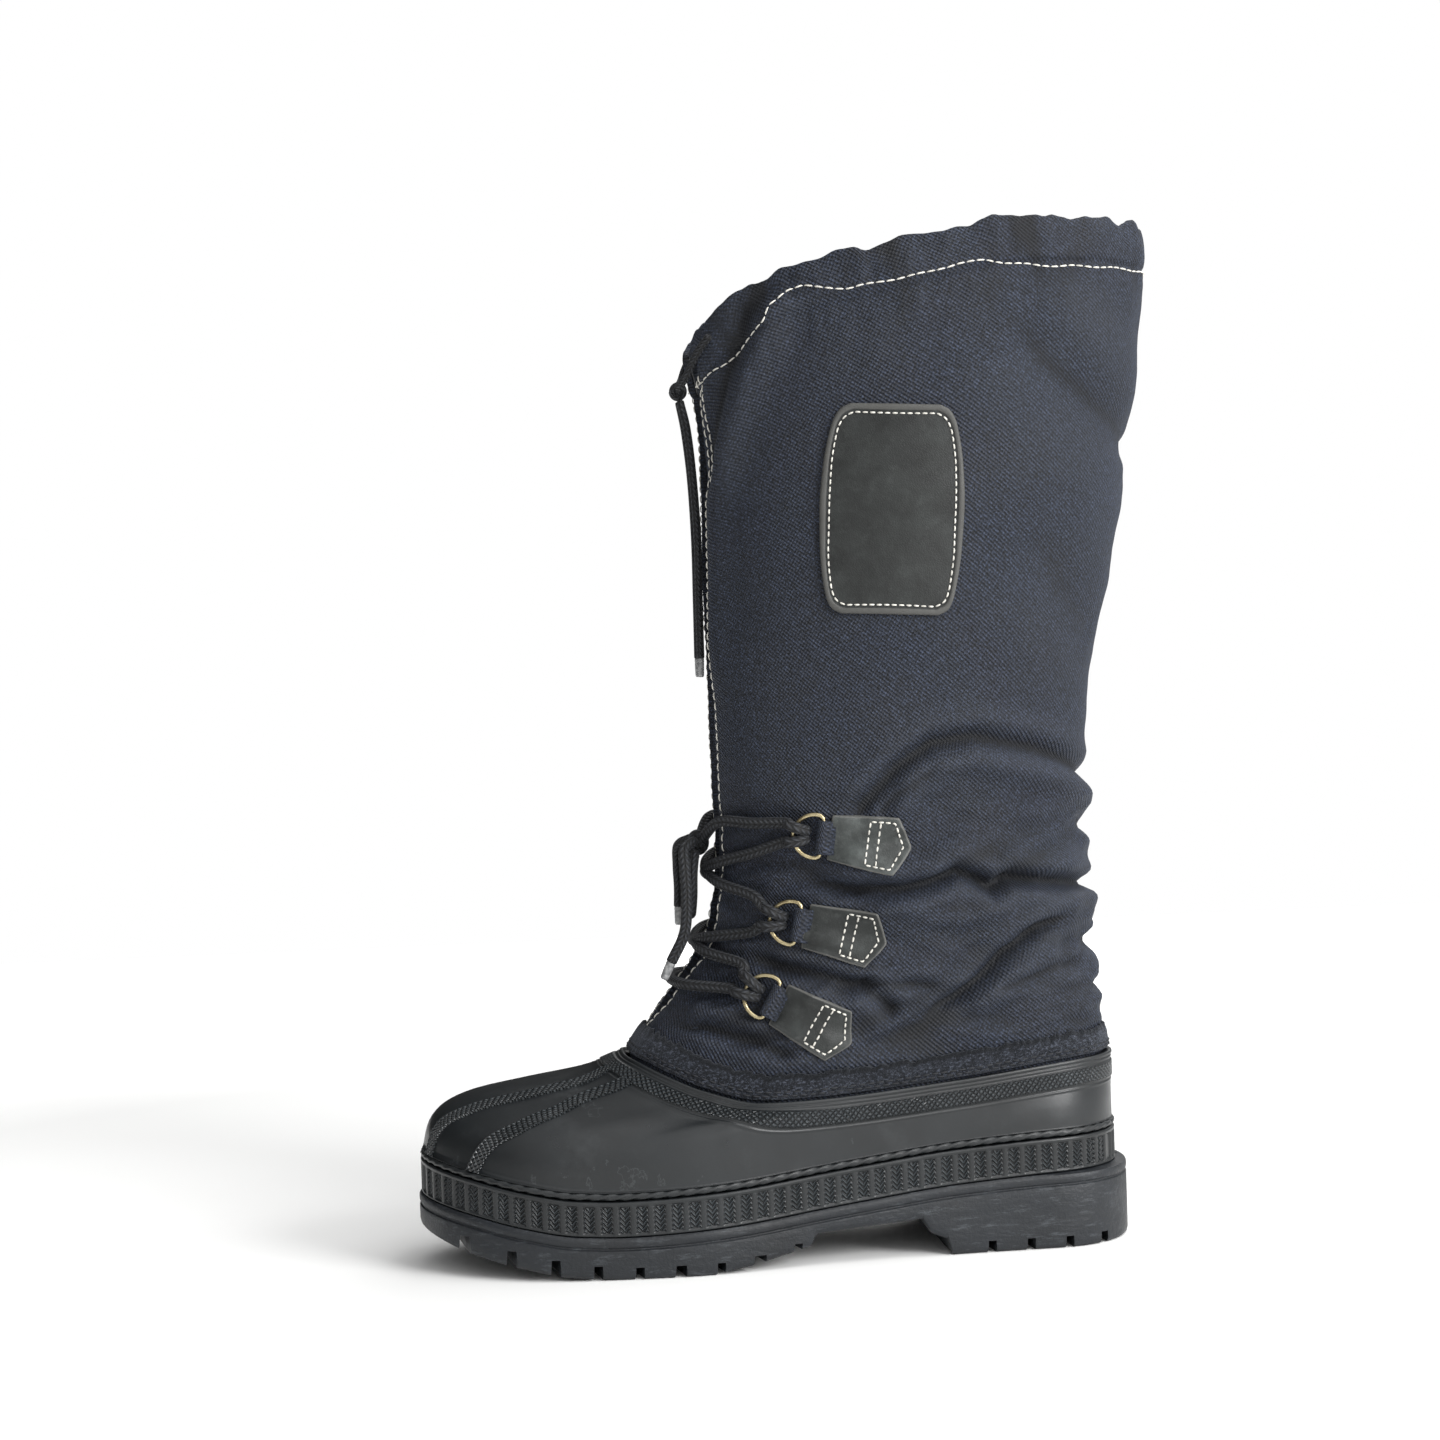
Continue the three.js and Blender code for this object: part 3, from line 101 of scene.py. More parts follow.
PATCH_WIDTH = 56.0
PATCH_HEIGHT = 82.0
TAB_LENGTH = 33.0
TAB_WIDTH = 23.4
RING_WIDTH = 20.0
RING_REACH = 13.0
RING_WIRE = 2.1
LOOP_LENGTH = 14.0
LOOP_RADIUS = RING_WIRE / 2 + GAP + 1.1
BAR_AHEAD = LOOP_RADIUS + GAP
BAR_OUT = LOOP_RADIUS + GAP + 0.5
PATCH_SCALE = 1.035
FOLD_DEPTH = 1.45
FOLD_WIDTH = 0.86
FOLD_LIMITS = (-8.5, 7.5)
CLOTH_MAP = 330.0
ROPE_PITCH = 6.4
LACE_DIAMETER = 4.6
LACE_CLEAR = LACE_DIAMETER / 2 + GAP + 1
DRAWCORD_DIAMETER = 3.4
SHELL_OUT = SHELL_WALL + GAP
BODY_START = FOXING_HEIGHT + GAP + PIPING_HEIGHT

SOLE_SECTIONS = {
    "at": (0, 0.15, 0.35, 0.55, 0.75, 0.90, 1),
    "lateral": (0.42, 0.480, 0.520, 0.442, 0.382, 0.368, 0.360),
    "medial": (0.43, 0.470, 0.462, 0.405, 0.376, 0.362, 0.360),
}
SOLE_LINES = {
    "at": (0, 0.07, 0.14, 0.21, 0.27, 0.40, 0.60, 0.74, 0.88, 1),
    "spring": (1, 0.58, 0.28, 0.06, 0, 0, 0, 0, 0, 0),
    "lift": (1, 0.67, 0.32, 0.06, 0, 0, 0, 0, 0, 0),
    "raise": (0, 0, 0, 0, 0, 0.10, 0.53, 0.82, 0.97, 1),
}
ARCH = {
    "at": (0.395, 0.450, 0.503, 0.528, 0.534, 0.685, 0.696, 0.719, 0.725),
    "up": (0.02, 0.15, 0.38, 0.49, 0.76, 0.92, 0.56, 0.39, 0.02),
}
SHELL_PROFILE = {
    "at": (0, 0.12, 0.25, 0.40, 0.60, 0.80, 1),
    "toe_in": (0, 0.03, 0.10, 0.24, 0.50, 0.80, 1),
    "toe_up": (0, 0.28, 0.48, 0.62, 0.73, 0.84, 1),
    "side_in": (0, 0.01, 0.07, 0.21, 0.47, 0.76, 1),
    "side_up": (0, 0.20, 0.42, 0.63, 0.81, 0.92, 1),
    "heel_in": (0, 0.03, 0.12, 0.28, 0.52, 0.76, 1),
    "heel_up": (0, 0.14, 0.29, 0.45, 0.65, 0.83, 1),
}
TOE_STRIPS = {
    "at": (0, 0.05, 0.16, 0.32, 0.50, 0.72, 0.86, 1),
    "lateral": (0.530, 0.545, 0.575, 0.610, 0.580, 0.465, 0.425, 0.400),
    "medial": (0.195, 0.205, 0.235, 0.300, 0.320, 0.280, 0.190, 0.150),
}
TOP_LINES = {
    "at": (0, 0.02, 0.06, 0.14, 0.25, 0.36, 0.65, 0.85, 1),
    "shell": (1.080, 1.060, 1.010, 0.925, 0.862, 0.868, 0.922, 0.972, 1),
    "collar": (0.880, 0.902, 0.922, 0.943, 0.960, 0.971, 0.996, 1.000, 0.998),
}
SHAFT_SECTIONS = {
    "at": (0, 0.05, 0.10, 0.15, 0.20, 0.30, 0.43, 0.60, 0.72, 0.85, 0.95, 1),
    "front": (0.302, 0.334, 0.372, 0.405, 0.422, 0.428, 0.427, 0.426, 0.427, 0.426, 0.418, 0.408),
    "back": (0.971, 0.968, 0.962, 0.957, 0.954, 0.951, 0.962, 1.000, 1.024, 1.046, 1.056, 1.056),
    "half": (0.350, 0.354, 0.362, 0.373, 0.382, 0.402, 0.434, 0.472, 0.490, 0.500, 0.494, 0.482),
}
FULLNESS = {
    "at": (0, 0.25, 0.45, 0.65, 0.85, 1),
    "lateral": (1.06, 1.09, 0.95, 0.87, 0.86, 0.85),
    "medial": (1.06, 1.02, 0.85, 0.82, 0.84, 0.85),
    "calf": (0.97, 1.00, 1.01, 1.00, 0.96, 0.92),
}
SLIT = {
    "at": (0, 0.030, 0.080, 0.180, 0.700, 0.920, 1.100),
    "half": (0.16, 0.45, 0.80, 1.00, 1.00, 0.80, 0.80),
}
PATCH_OUTLINE = {
    "at": (-1, -0.95, -0.80, -0.40, 0, 0.40, 0.80, 0.95, 1),
    "half": (0.67, 0.81, 0.895, 0.98, 1, 0.97, 0.87, 0.76, 0.62),
}
TAB_OUTLINE = {
    "at": (0, 0.28, 0.56, 0.80, 0.90, 1),
    "half": (0.80, 0.87, 0.95, 1.00, 0.56, 0.06),
}
TABS = (
    {"name": "top", "along": 0.571, "up": 0.411, "slope": -9.0},
    {"name": "middle", "along": 0.537, "up": 0.326, "slope": -14.0},
    {"name": "bottom", "along": 0.497, "up": 0.251, "slope": -30.0},
)

# Creases: depth, width and places. A place is a share of the half girth, front 0, lateral middle 0.5, back 1,
# medial 1.5, and a height in millimetres; a negative depth is a ridge
CREASES = (
    (2.6, 4.6, ((0.36, 176), (0.4, 189), (0.458, 202), (0.528, 212), (0.615, 214), (0.759, 208), (0.9, 199),
     (1, 192), (1.1, 188))),
    (-2.4, 8.0, ((0.43, 184), (0.5, 200), (0.6, 205), (0.75, 199), (0.9, 190), (1, 185))),
    (1.5, 3.4, ((0.42, 182), (0.46, 192), (0.546, 203))),
    (4.0, 3.6, ((0.25, 159), (0.3, 156), (0.378, 152.5), (0.471, 152.8), (0.528, 155), (0.58, 158.5), (0.625, 156),
     (0.658, 151), (0.698, 155), (0.78, 153), (0.9, 150), (1, 149), (1.12, 151), (1.25, 148))),
    (-2.2, 7.0, ((0.3, 165), (0.45, 162), (0.6, 168), (0.75, 163), (0.95, 160))),
    (-2.4, 8.0, ((0.34, 143), (0.5, 143), (0.66, 141), (0.85, 140), (1, 139))),
    (2.8, 3.2, ((0.17, 127), (0.245, 121.5), (0.35, 117), (0.414, 113), (0.474, 105), (0.5, 99))),
    (-2.0, 6.0, ((0.24, 113), (0.33, 108), (0.42, 103), (0.5, 94))),
    (2.0, 2.8, ((0.4, 116), (0.434, 113.5), (0.5, 113), (0.573, 111))),
    (3.0, 3.4, ((0.545, 101), (0.6, 106), (0.65, 115), (0.689, 124), (0.762, 134), (0.85, 138))),
    (-2.2, 6.5, ((0.62, 99), (0.68, 109), (0.74, 119), (0.82, 126))),
    (1.6, 2.8, ((0.66, 109), (0.72, 111), (0.8, 116), (0.88, 117))),
    (2.2, 3.0, ((0.1, 97), (0.16, 98), (0.222, 94), (0.29, 89), (0.34, 84.5))),
    (-2.0, 5.5, ((0.11, 104), (0.19, 104), (0.27, 98))),
    (1.6, 4.0, ((0.86, 128), (0.95, 125), (1, 124), (1.08, 122))),
    (2.0, 3.4, ((0.9, 107), (0.96, 106), (1.03, 107), (1.12, 110))),
    (2.0, 3.8, ((0.9, 176), (0.97, 173), (1.04, 172), (1.14, 169))),
    (-3.2, 8.0, ((0.27, 404), (0.225, 390), (0.164, 366), (0.118, 340), (0.09, 315), (0.075, 285), (0.072, 255),
     (0.08, 225))),
    (2.4, 6.0, ((0.235, 404), (0.185, 388), (0.128, 362), (0.085, 338), (0.06, 312))),
    (2.4, 13.0, ((0.62, 386), (0.7, 366), (0.8, 351), (0.9, 339), (1, 330), (1.08, 327))),
    (1.3, 4.0, ((0.93, 334), (1, 331), (1.06, 330))),
    (1.0, 12.0, ((0.7, 300), (0.8, 270), (0.9, 252))),
    (2.6, 4.2, ((1.2, 212), (1.32, 222), (1.45, 220), (1.58, 206), (1.66, 190))),
    (-2.4, 8.0, ((1.22, 202), (1.34, 211), (1.46, 208), (1.56, 195))),
    (3.6, 3.8, ((1.28, 147), (1.38, 153), (1.47, 156), (1.56, 152), (1.68, 156), (1.75, 160))),
    (-2.2, 7.5, ((1.25, 138), (1.4, 142), (1.55, 140), (1.66, 142))),
    (2.8, 3.2, ((1.22, 118), (1.34, 126), (1.42, 122), (1.54, 112), (1.62, 106))),
    (-2.0, 6.5, ((1.3, 112), (1.42, 110), (1.52, 101))),
    (2.4, 3.0, ((1.6, 122), (1.7, 126), (1.8, 128))),
    (2.0, 3.0, ((1.68, 92), (1.78, 97), (1.88, 98))),
    (-1.8, 9.0, ((1.76, 402), (1.82, 372), (1.89, 342), (1.92, 300), (1.925, 250))),
    (2.2, 12.0, ((1.1, 330), (1.22, 342), (1.34, 360), (1.42, 382))),
    (1.2, 11.0, ((1.4, 300), (1.55, 286), (1.7, 290))),
)

# Routes of the cords, in metres: height, sideways, and out from the front of the shaft
KNOT_HEIGHT = 0.172
KNOT_OUT = 0.007
LACE_LOOP_LATERAL = (
    (0.1669, -0.0034, 0.0088), (0.160, -0.0033, 0.011), (0.150, -0.0032, 0.0104), (0.1426, -0.0068, 0.0098),
    (0.150, -0.0106, 0.010), (0.160, -0.0116, 0.0104), (0.1685, -0.0086, 0.0094),
)
LACE_LOOP_MEDIAL = (
    (0.1669, 0.0034, 0.0088), (0.160, 0.0033, 0.011), (0.152, 0.0032, 0.0104), (0.145, 0.0068, 0.0098),
    (0.152, 0.0106, 0.010), (0.160, 0.0116, 0.0104), (0.1685, 0.0086, 0.0094),
)
LACE_END_LATERAL = (
    (0.173, -0.0077, 0.0094), (0.170, -0.013, 0.014), (0.162, -0.017, 0.014), (0.150, -0.018, 0.013),
    (0.136, -0.018, 0.012), (0.124, -0.017, 0.012),
)
LACE_END_MEDIAL = (
    (0.173, 0.0077, 0.0094), (0.170, 0.013, 0.014), (0.162, 0.017, 0.014), (0.152, 0.018, 0.013),
    (0.144, 0.018, 0.0125),
)
DRAW_HEIGHT = 0.362
DRAW_OUT = 0.006
DRAW_END = (
    (0.3574, 0.0024, 0.006), (0.345, 0.0046, 0.005), (0.325, 0.0042, 0.004), (0.300, 0.0052, 0.0032),
    (0.275, 0.0044, 0.0032), (0.250, 0.005, 0.0032),
)


# Shape of the boot, as in the solids
def follow(table, column, at):
    """A smooth curve through one column of a table."""
    xs = np.asarray(table["at"], float)
    ys = np.asarray(table[column], float)
    slope = np.diff(ys) / np.diff(xs)
    before, after = slope[:-1], slope[1:]
    same_way = before * after > 0
    total = np.where(same_way, before + after, 1)
    inner = np.where(same_way, 2 * before * after / total, 0)
    tangent = np.concatenate([slope[:1], inner, slope[-1:]])
    q = np.clip(at, xs[0], xs[-1])
    k = np.clip(np.searchsorted(xs, q, side="right") - 1, 0, len(xs) - 2)
    span = xs[k + 1] - xs[k]
    t = (q - xs[k]) / span
    start = (2 * t**3 - 3 * t**2 + 1) * ys[k] + (t**3 - 2 * t**2 + t) * span * tangent[k]
    end = (3 * t**2 - 2 * t**3) * ys[k + 1] + (t**3 - t**2) * span * tangent[k + 1]
    return start + end


def run_of(points):
    """Length along a line of points at each of them, from 0."""
    return np.concatenate([[0], np.cumsum(np.linalg.norm(np.diff(points, axis=0), axis=1))])


def same_shape(*values):
    return np.broadcast_arrays(*(np.asarray(value, float) for value in values))


def ease(t):
    c = np.clip(t, 0, 1)
    return c * c * (3 - 2 * c)


def mix(a, b, t):
    return a + (b - a) * t


def hump(x, middle, width):
    return np.exp(-(((x - middle) / width) ** 2))


def share(t):
    return (1 - np.cos(t)) / 2


def lateral(t):
    return np.sin(t) >= 0


def by_side(table, t, at):
    return np.where(lateral(t), follow(table, "lateral", at), follow(table, "medial", at))


def raw_edge(t):
    s = share(t)
    toe = np.maximum(0, 1 - s * SOLE_LENGTH / TOE_ROUND)
    heel = np.maximum(0, 1 - (1 - s) * SOLE_LENGTH / HEEL_ROUND)
    round_off = (1 - toe**2.3) ** (1 / 2.1) * (1 - heel**2.3) ** (1 / 2.1)
    middle = TOE_OFFSET * (1 - ease(s / 0.6))
    side = np.where(lateral(t), -1.0, 1.0)
    half = by_side(SOLE_SECTIONS, t, s) * BALL_WIDTH
    return np.stack([s * SOLE_LENGTH, middle + (side * half - middle) * round_off], -1)


def edge(t, inset):
    """Outline of the outsole in plan, moved inwards by inset."""
    along = raw_edge(t + 0.004) - raw_edge(t - 0.004)
    along /= np.linalg.norm(along, axis=-1, keepdims=True)
    inward = np.stack([-along[..., 1], along[..., 0]], -1)
    return raw_edge(t) + inward * np.asarray(inset)[..., None]


def tread_line(x):
    return TOE_SPRING * follow(SOLE_LINES, "spring", x / SOLE_LENGTH)


def foxing_line(x):
    at = x / SOLE_LENGTH
    lift = TOE_LIFT * follow(SOLE_LINES, "lift", at)
    return SOLE_THICKNESS + lift + HEEL_RAISE * follow(SOLE_LINES, "raise", at)


def underside(x):
    at = x / SOLE_LENGTH
    arch = np.interp(at, ARCH["at"], ARCH["up"]) * SOLE_THICKNESS
    return np.where((at <= ARCH["at"][0]) | (at >= ARCH["at"][-1]), tread_line(x), arch)


def foxing_inset(t):
    return FOXING_INSET + HEEL_LEDGE * ease((share(t) - 0.8) / 0.18)


def shaft_low(t):
    return follow(TOP_LINES, "shell", share(t)) * SHELL_HEIGHT


def shaft_high(t):
    return follow(TOP_LINES, "collar", share(t)) * BOOT_HEIGHT


def raw_shaft(t, v):
    f = share(t)
    w = np.clip(v, 0, 1)
    front = follow(SHAFT_SECTIONS, "front", w) * SOLE_LENGTH
    back = follow(SHAFT_SECTIONS, "back", w) * SOLE_LENGTH
    half = follow(SHAFT_SECTIONS, "half", w) * SHAFT_WIDTH
    calf = ease(w / 0.3)
    fullness = mix(by_side(FULLNESS, t, f), follow(FULLNESS, "calf", f), calf)
    round_off = np.abs(np.sin(t)) ** mix(0.62, 0.8, calf)
    side = np.where(lateral(t), -1.0, 1.0)
    x = front + (back - front) * f
    y = side * half * fullness * round_off + TOE_OFFSET * (1 - f) ** 4 * (1 - calf)
    z = mix(shaft_low(t), shaft_high(t), v)
    return np.stack(np.broadcast_arrays(x, y, z), -1)


def offset_point(surface, t, v, out):
    along = surface(t + 0.01, v) - surface(t - 0.01, v)
    up = surface(t, v + 0.004) - surface(t, v - 0.004)
    normal = np.cross(along, up)
    normal /= np.linalg.norm(normal, axis=-1, keepdims=True)
    return surface(t, v) + normal * np.asarray(out)[..., None]


def shaft(t, v, out):
    """A place on the shaft by turn and share of its height, out millimetres from its face."""
    t, v, out = same_shape(t, v, out)
    square = offset_point(raw_shaft, t, np.maximum(v, 0.004), out)
    rise = ease(v / 0.06)[..., None]
    foot = np.zeros_like(v)
    along = raw_shaft(t + 0.01, foot) - raw_shaft(t - 0.01, foot)
    along[..., 2] = 0
    along /= np.linalg.norm(along, axis=-1, keepdims=True)
    level = raw_shaft(t, v) + np.stack([along[..., 1], -along[..., 0], foot], -1) * out[..., None]
    return mix(level, square, rise)


def shaft_share(t, millimetres):
    return millimetres / (shaft_high(t) - shaft_low(t))


def raw_shell(t, v):
    s = share(t)
    base = edge(t, foxing_inset(t) + 0.9)
    base_z = foxing_line(base[..., 0]) + BODY_START
    top = shaft(t, np.zeros_like(t), np.full_like(t, SHELL_OUT))
    toe = ease((0.46 - s) / 0.4)
    heel = ease((s - 0.5) / 0.3)

    def row(name):
        side = (1 - toe - heel) * follow(SHELL_PROFILE, "side_" + name, v)
        return toe * follow(SHELL_PROFILE, "toe_" + name, v) + side + heel * follow(SHELL_PROFILE, "heel_" + name, v)

    inward = row("in")
    x = mix(base[..., 0], top[..., 0], inward)
    y = mix(base[..., 1], top[..., 1], inward)
    return np.stack([x, y, mix(base_z, top[..., 2], row("up"))], -1)


def shell(t, v, out):
    t, v, out = same_shape(t, v, out)
    return offset_point(raw_shell, t, v, out)


def arc_table(line, count=721):
    """Turns round the boot and their lengths along a line, to space things evenly."""
    turns = np.linspace(0, 2 * math.pi, count)
    return turns, run_of(line(turns))


SHAFT_TURNS, SHAFT_ARC = arc_table(lambda t: shaft(t, np.full_like(t, 0.5), np.zeros_like(t)))
GIRTH_TURNS, GIRTH_ARC = arc_table(lambda t: shaft(t, np.full_like(t, 0.3), np.zeros_like(t)))
HALF_GIRTH = GIRTH_ARC[360]
FOXING_TURNS, FOXING_ARC = arc_table(lambda t: edge(t, foxing_inset(t)), 2881)
SHELL_TURNS, SHELL_ARC = arc_table(lambda t: shell(t, np.full_like(t, 0.3), np.zeros_like(t)))


def girth_share(t):
    """0 at the front, 1 at the back and 2 at the front again, by length."""
    turn = np.mod(t, 2 * math.pi)
    one_side = np.interp(np.where(turn <= math.pi, turn, 2 * math.pi - turn), GIRTH_TURNS, GIRTH_ARC) / HALF_GIRTH
    return np.where(turn <= math.pi, one_side, 2 - one_side)


def soft_noise(x, y, seed):
    """Smooth noise over two arrays of millimetres already divided by its grain."""
    flat = [noise.noise(Vector((a, b, seed))) for a, b in zip(np.ravel(x), np.ravel(y))]
    return np.reshape(flat, np.shape(x))


def to_line(a, z, points):
    """Distance in millimetres to a line of places on the shaft, and the share along it."""
    px, pz = np.asarray(a) * HALF_GIRTH, np.asarray(z, float)
    best = np.full(np.shape(px), 1e9)
    along = np.zeros(np.shape(px))
    count = len(points) - 1
    for k in range(count):
        ax, az = points[k][0] * HALF_GIRTH, points[k][1]
        bx, bz = points[k + 1][0] * HALF_GIRTH, points[k + 1][1]
        dx, dz = bx - ax, bz - az
        s = np.clip(((px - ax) * dx + (pz - az) * dz) / (dx * dx + dz * dz), 0, 1)
        distance = np.hypot(px - ax - s * dx, pz - az - s * dz)
        nearer = distance < best
        best = np.where(nearer, distance, best)
        along = np.where(nearer, (k + s) / count, along)
    return best, along


def folds(t, v, shade_of=None):
    """How far the cloth stands out of the shaft's plain form, or the shade of its troughs or ridges."""
    t, v = same_shape(t, v)
    a = girth_share(t)
    z = mix(shaft_low(t), shaft_high(t), v)
    out = np.zeros(np.shape(a))
    dark, light = np.zeros(np.shape(a)), np.zeros(np.shape(a))
    for depth, width, points in CREASES:
        distance, along = to_line(a, z, points)
        fade = FOLD_DEPTH * ease(along / 0.16) * ease((1 - along) / 0.16)
        w = width * FOLD_WIDTH
        trough = np.exp(-((distance / w) ** 2))
        if depth > 0:
            banks = 0.42 * np.exp(-(((distance - 2.1 * w) / (1.3 * w)) ** 2))
            out -= depth * fade * (trough - banks)
            sharp = np.exp(-((distance / (0.52 * min(w, 6.0))) ** 2)) * min(1, 6.0 / w)
            dark += min(depth, 3.5) / 3.5 * fade * sharp
            light += 0.5 * min(depth, 3.0) / 3.0 * fade * banks
        else:
            out -= depth * fade * trough
    low = ease((215 - z) / 60)
    wide = soft_noise(a * HALF_GIRTH / 46, z / 30, 3.1)
    fine = soft_noise(a * HALF_GIRTH / 22, (z + a * HALF_GIRTH * 0.22) / 6.5, 7.7)
    ridged = 0.5 - np.abs(soft_noise(a * HALF_GIRTH / 32, (z - a * HALF_GIRTH * 0.3) / 11, 11.3)) * 2
    out += wide * mix(1.1, 2.2, low) + fine * mix(0.2, 1.5, low) + ridged * mix(0.1, 1.9, low)
    dark += np.clip(-0.15 - ridged, 0, 1) * 0.7 * low + np.clip(-0.12 - fine, 0, 1) * 0.8 * low
    light += np.clip(ridged - 0.25, 0, 1) * 0.5 * low
    front = np.minimum(a, 2 - a)
    calm = ease((front - 0.015) / 0.11)
    foot = ease((v - shaft_share(t, JOIN_HEIGHT - 3)) / shaft_share(t, 9))
    # The crease mask is painted shade: dark in the troughs of the creases and of the puckers under the hem
    if shade_of == "crease":
        below = (1 - v) / shaft_share(t, 1)
        puckers = soft_noise(a * HALF_GIRTH / 8, below / 26, 5.5)
        dark = dark * 1.25 + np.clip(-0.12 - puckers, 0, 1) * 1.8 * ease((46 - below) / 30)
        return np.clip(dark, 0, 0.88) * foot
    # The ridge mask is a painted highlight on the creases' banks and on raised ridges
    if shade_of == "ridge":
        return np.clip(light * 0.42, 0, 0.3) * foot
    out *= mix(0.25, 1, calm) * foot
    below = (1 - v) / shaft_share(t, 1)
    gathers = soft_noise(a * HALF_GIRTH / 9, below / 30, 5.5) * 1.5
    gathers += soft_noise(a * HALF_GIRTH / 3.8, below / 11, 2.2) * 0.7
    hem = ease((HEM_HEIGHT + 0.8 - below) / 1.6)
    puff = np.sin(math.pi * np.clip(below / HEM_HEIGHT, 0, 1)) ** 0.6
    out += hem * (0.35 + puff * (1.0 + gathers)) + gathers * 0.8 * ease((60 - below) / 45) * (1 - hem)
    out -= 0.5 * hump(below, HEM_HEIGHT + 0.6, 1.3)
    return np.clip(out, *FOLD_LIMITS)


def cloth(t, v, out):
    t, v, out = same_shape(t, v, out)
    points = shaft(t, v, out + folds(t, v))
    girth = girth_share(t) * HALF_GIRTH
    flat = np.zeros_like(girth)
    ruffle = soft_noise(girth / 10, flat, 8.8) * 3.0 + soft_noise(girth / 4.2, flat, 3.3) * 1.3
    points[..., 2] += ruffle * ease((v - 0.955) / 0.045)
    return points


def shaft_place(x, z, side):
    """The turn and share at places on one side of the shaft."""
    x, z = same_shape(x, z)
    turn = np.full(np.shape(x), math.pi / 2)
    for _ in range(24):
        v = (z - shaft_low(turn)) / (shaft_high(turn) - shaft_low(turn))
        front = follow(SHAFT_SECTIONS, "front", v) * SOLE_LENGTH
        back = follow(SHAFT_SECTIONS, "back", v) * SOLE_LENGTH
        turn = np.arccos(np.clip(1 - 2 * (x - front) / (back - front), -1, 1))
    return (turn if side < 0 else 2 * math.pi - turn), v


def on_shaft(x, z, side, out, surface=shaft):
    t, v = shaft_place(x, z, side)
    return surface(t, v, out)


# The solids' frame: the toe tip and the most lateral point of the outsole set the boot's place in it
STATIONS = np.arange(36) * math.pi / 18
SOLE_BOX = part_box("outsole")
SHIFT = np.array([
    SOLE_BOX[0][0] * 1000,
    SOLE_BOX[0][1] * 1000 - edge(STATIONS, np.zeros(36))[:, 1].min(),
    0.0,
])


def to_row(points):
    """Boot millimetres to the row's metres."""
    return (np.asarray(points, float) + SHIFT) / 1000


# Meshes
def clear_selection():
    if bpy.context.object and bpy.context.object.mode != "OBJECT":
        bpy.ops.object.mode_set(mode="OBJECT")
    bpy.ops.object.select_all(action="DESELECT")


def pick(piece):
    clear_selection()
    piece.select_set(True)
    bpy.context.view_layer.objects.active = piece


def surface_piece(name, columns, rows, place, closed=False, masks=None):
    """A grid moved onto place(u, v), which gives points and two map axes, all in millimetres."""
    clear_selection()
    bpy.ops.mesh.primitive_grid_add(x_subdivisions=columns, y_subdivisions=rows, size=2)
    piece = bpy.context.object
    piece.name = name
    mesh = piece.data
    mesh.name = name
    count = len(mesh.vertices)
    flat = np.empty(count * 3)
    mesh.vertices.foreach_get("co", flat)
    grid = (flat.reshape(-1, 3) + 1) / 2
    u, v = grid[:, 0], grid[:, 1]
    points, across, up = place(u, v)
    mesh.vertices.foreach_set("co", to_row(points).ravel())
    corners = np.empty(len(mesh.loops), dtype=np.int32)
    mesh.loops.foreach_get("vertex_index", corners)
    mesh.uv_layers.active.data.foreach_set("uv", np.stack([across[corners], up[corners]], -1).ravel())
    for mask, values in (masks or {}).items():
        layer = mesh.attributes.new(mask, "FLOAT", "POINT")
        layer.data.foreach_set("value", np.asarray(values(u, v), dtype=np.float32))
    mesh.update()
    if closed:
        pick(piece)
        bpy.ops.object.mode_set(mode="EDIT")
        bpy.ops.mesh.select_all(action="SELECT")
        bpy.ops.mesh.remove_doubles(threshold=2e-6)
        bpy.ops.object.mode_set(mode="OBJECT")
    smooth(piece)
    return piece


def smooth(piece, angle=None):
    pick(piece)
    if angle is None:
        bpy.ops.object.shade_smooth()
    else:
        bpy.ops.object.shade_smooth_by_angle(angle=math.radians(angle))


def thicken(piece, thickness, offset):
    """Gives an open sheet a wall in millimetres."""
    pick(piece)
    wall = piece.modifiers.new("wall", "SOLIDIFY")
    wall.thickness = thickness / 1000
    wall.offset = offset
    wall.use_even_offset = True
    bpy.ops.object.modifier_apply(modifier=wall.name)
    smooth(piece)


def smooth_path(points, step=1.0):
    """A Catmull-Rom curve through points, about a step apart."""
    p = np.asarray(points, float)
    ends = [2 * p[0] - p[1], *p, 2 * p[-1] - p[-2]]
    line = []
    for k in range(len(p) - 1):
        a, b, c, d = ends[k:k + 4]
        pieces = max(2, int(np.ceil(np.linalg.norm(c - b) / step)))
        for i in range(pieces):
            s = i / pieces
            line.append(0.5 * (2 * b + (c - a) * s + (2 * a - 5 * b + 4 * c - d) * s**2
                               + (3 * b - a - 3 * c + d) * s**3))
    line.append(p[-1])
    return np.array(line)


def frames_along(line):
    """Unit vectors along a line and two square to it that don't twist."""
    along = np.gradient(line, axis=0)
    along /= np.linalg.norm(along, axis=1, keepdims=True)
    first = np.cross(along[0], (0, 0, 1) if abs(along[0][2]) < 0.9 else (0, 1, 0))
    first /= np.linalg.norm(first)
    side = [first]
    for k in range(1, len(line)):
        s = side[-1] - along[k] * np.dot(side[-1], along[k])
        side.append(s / np.linalg.norm(s))
    side = np.array(side)
    return along, side, np.cross(along, side)


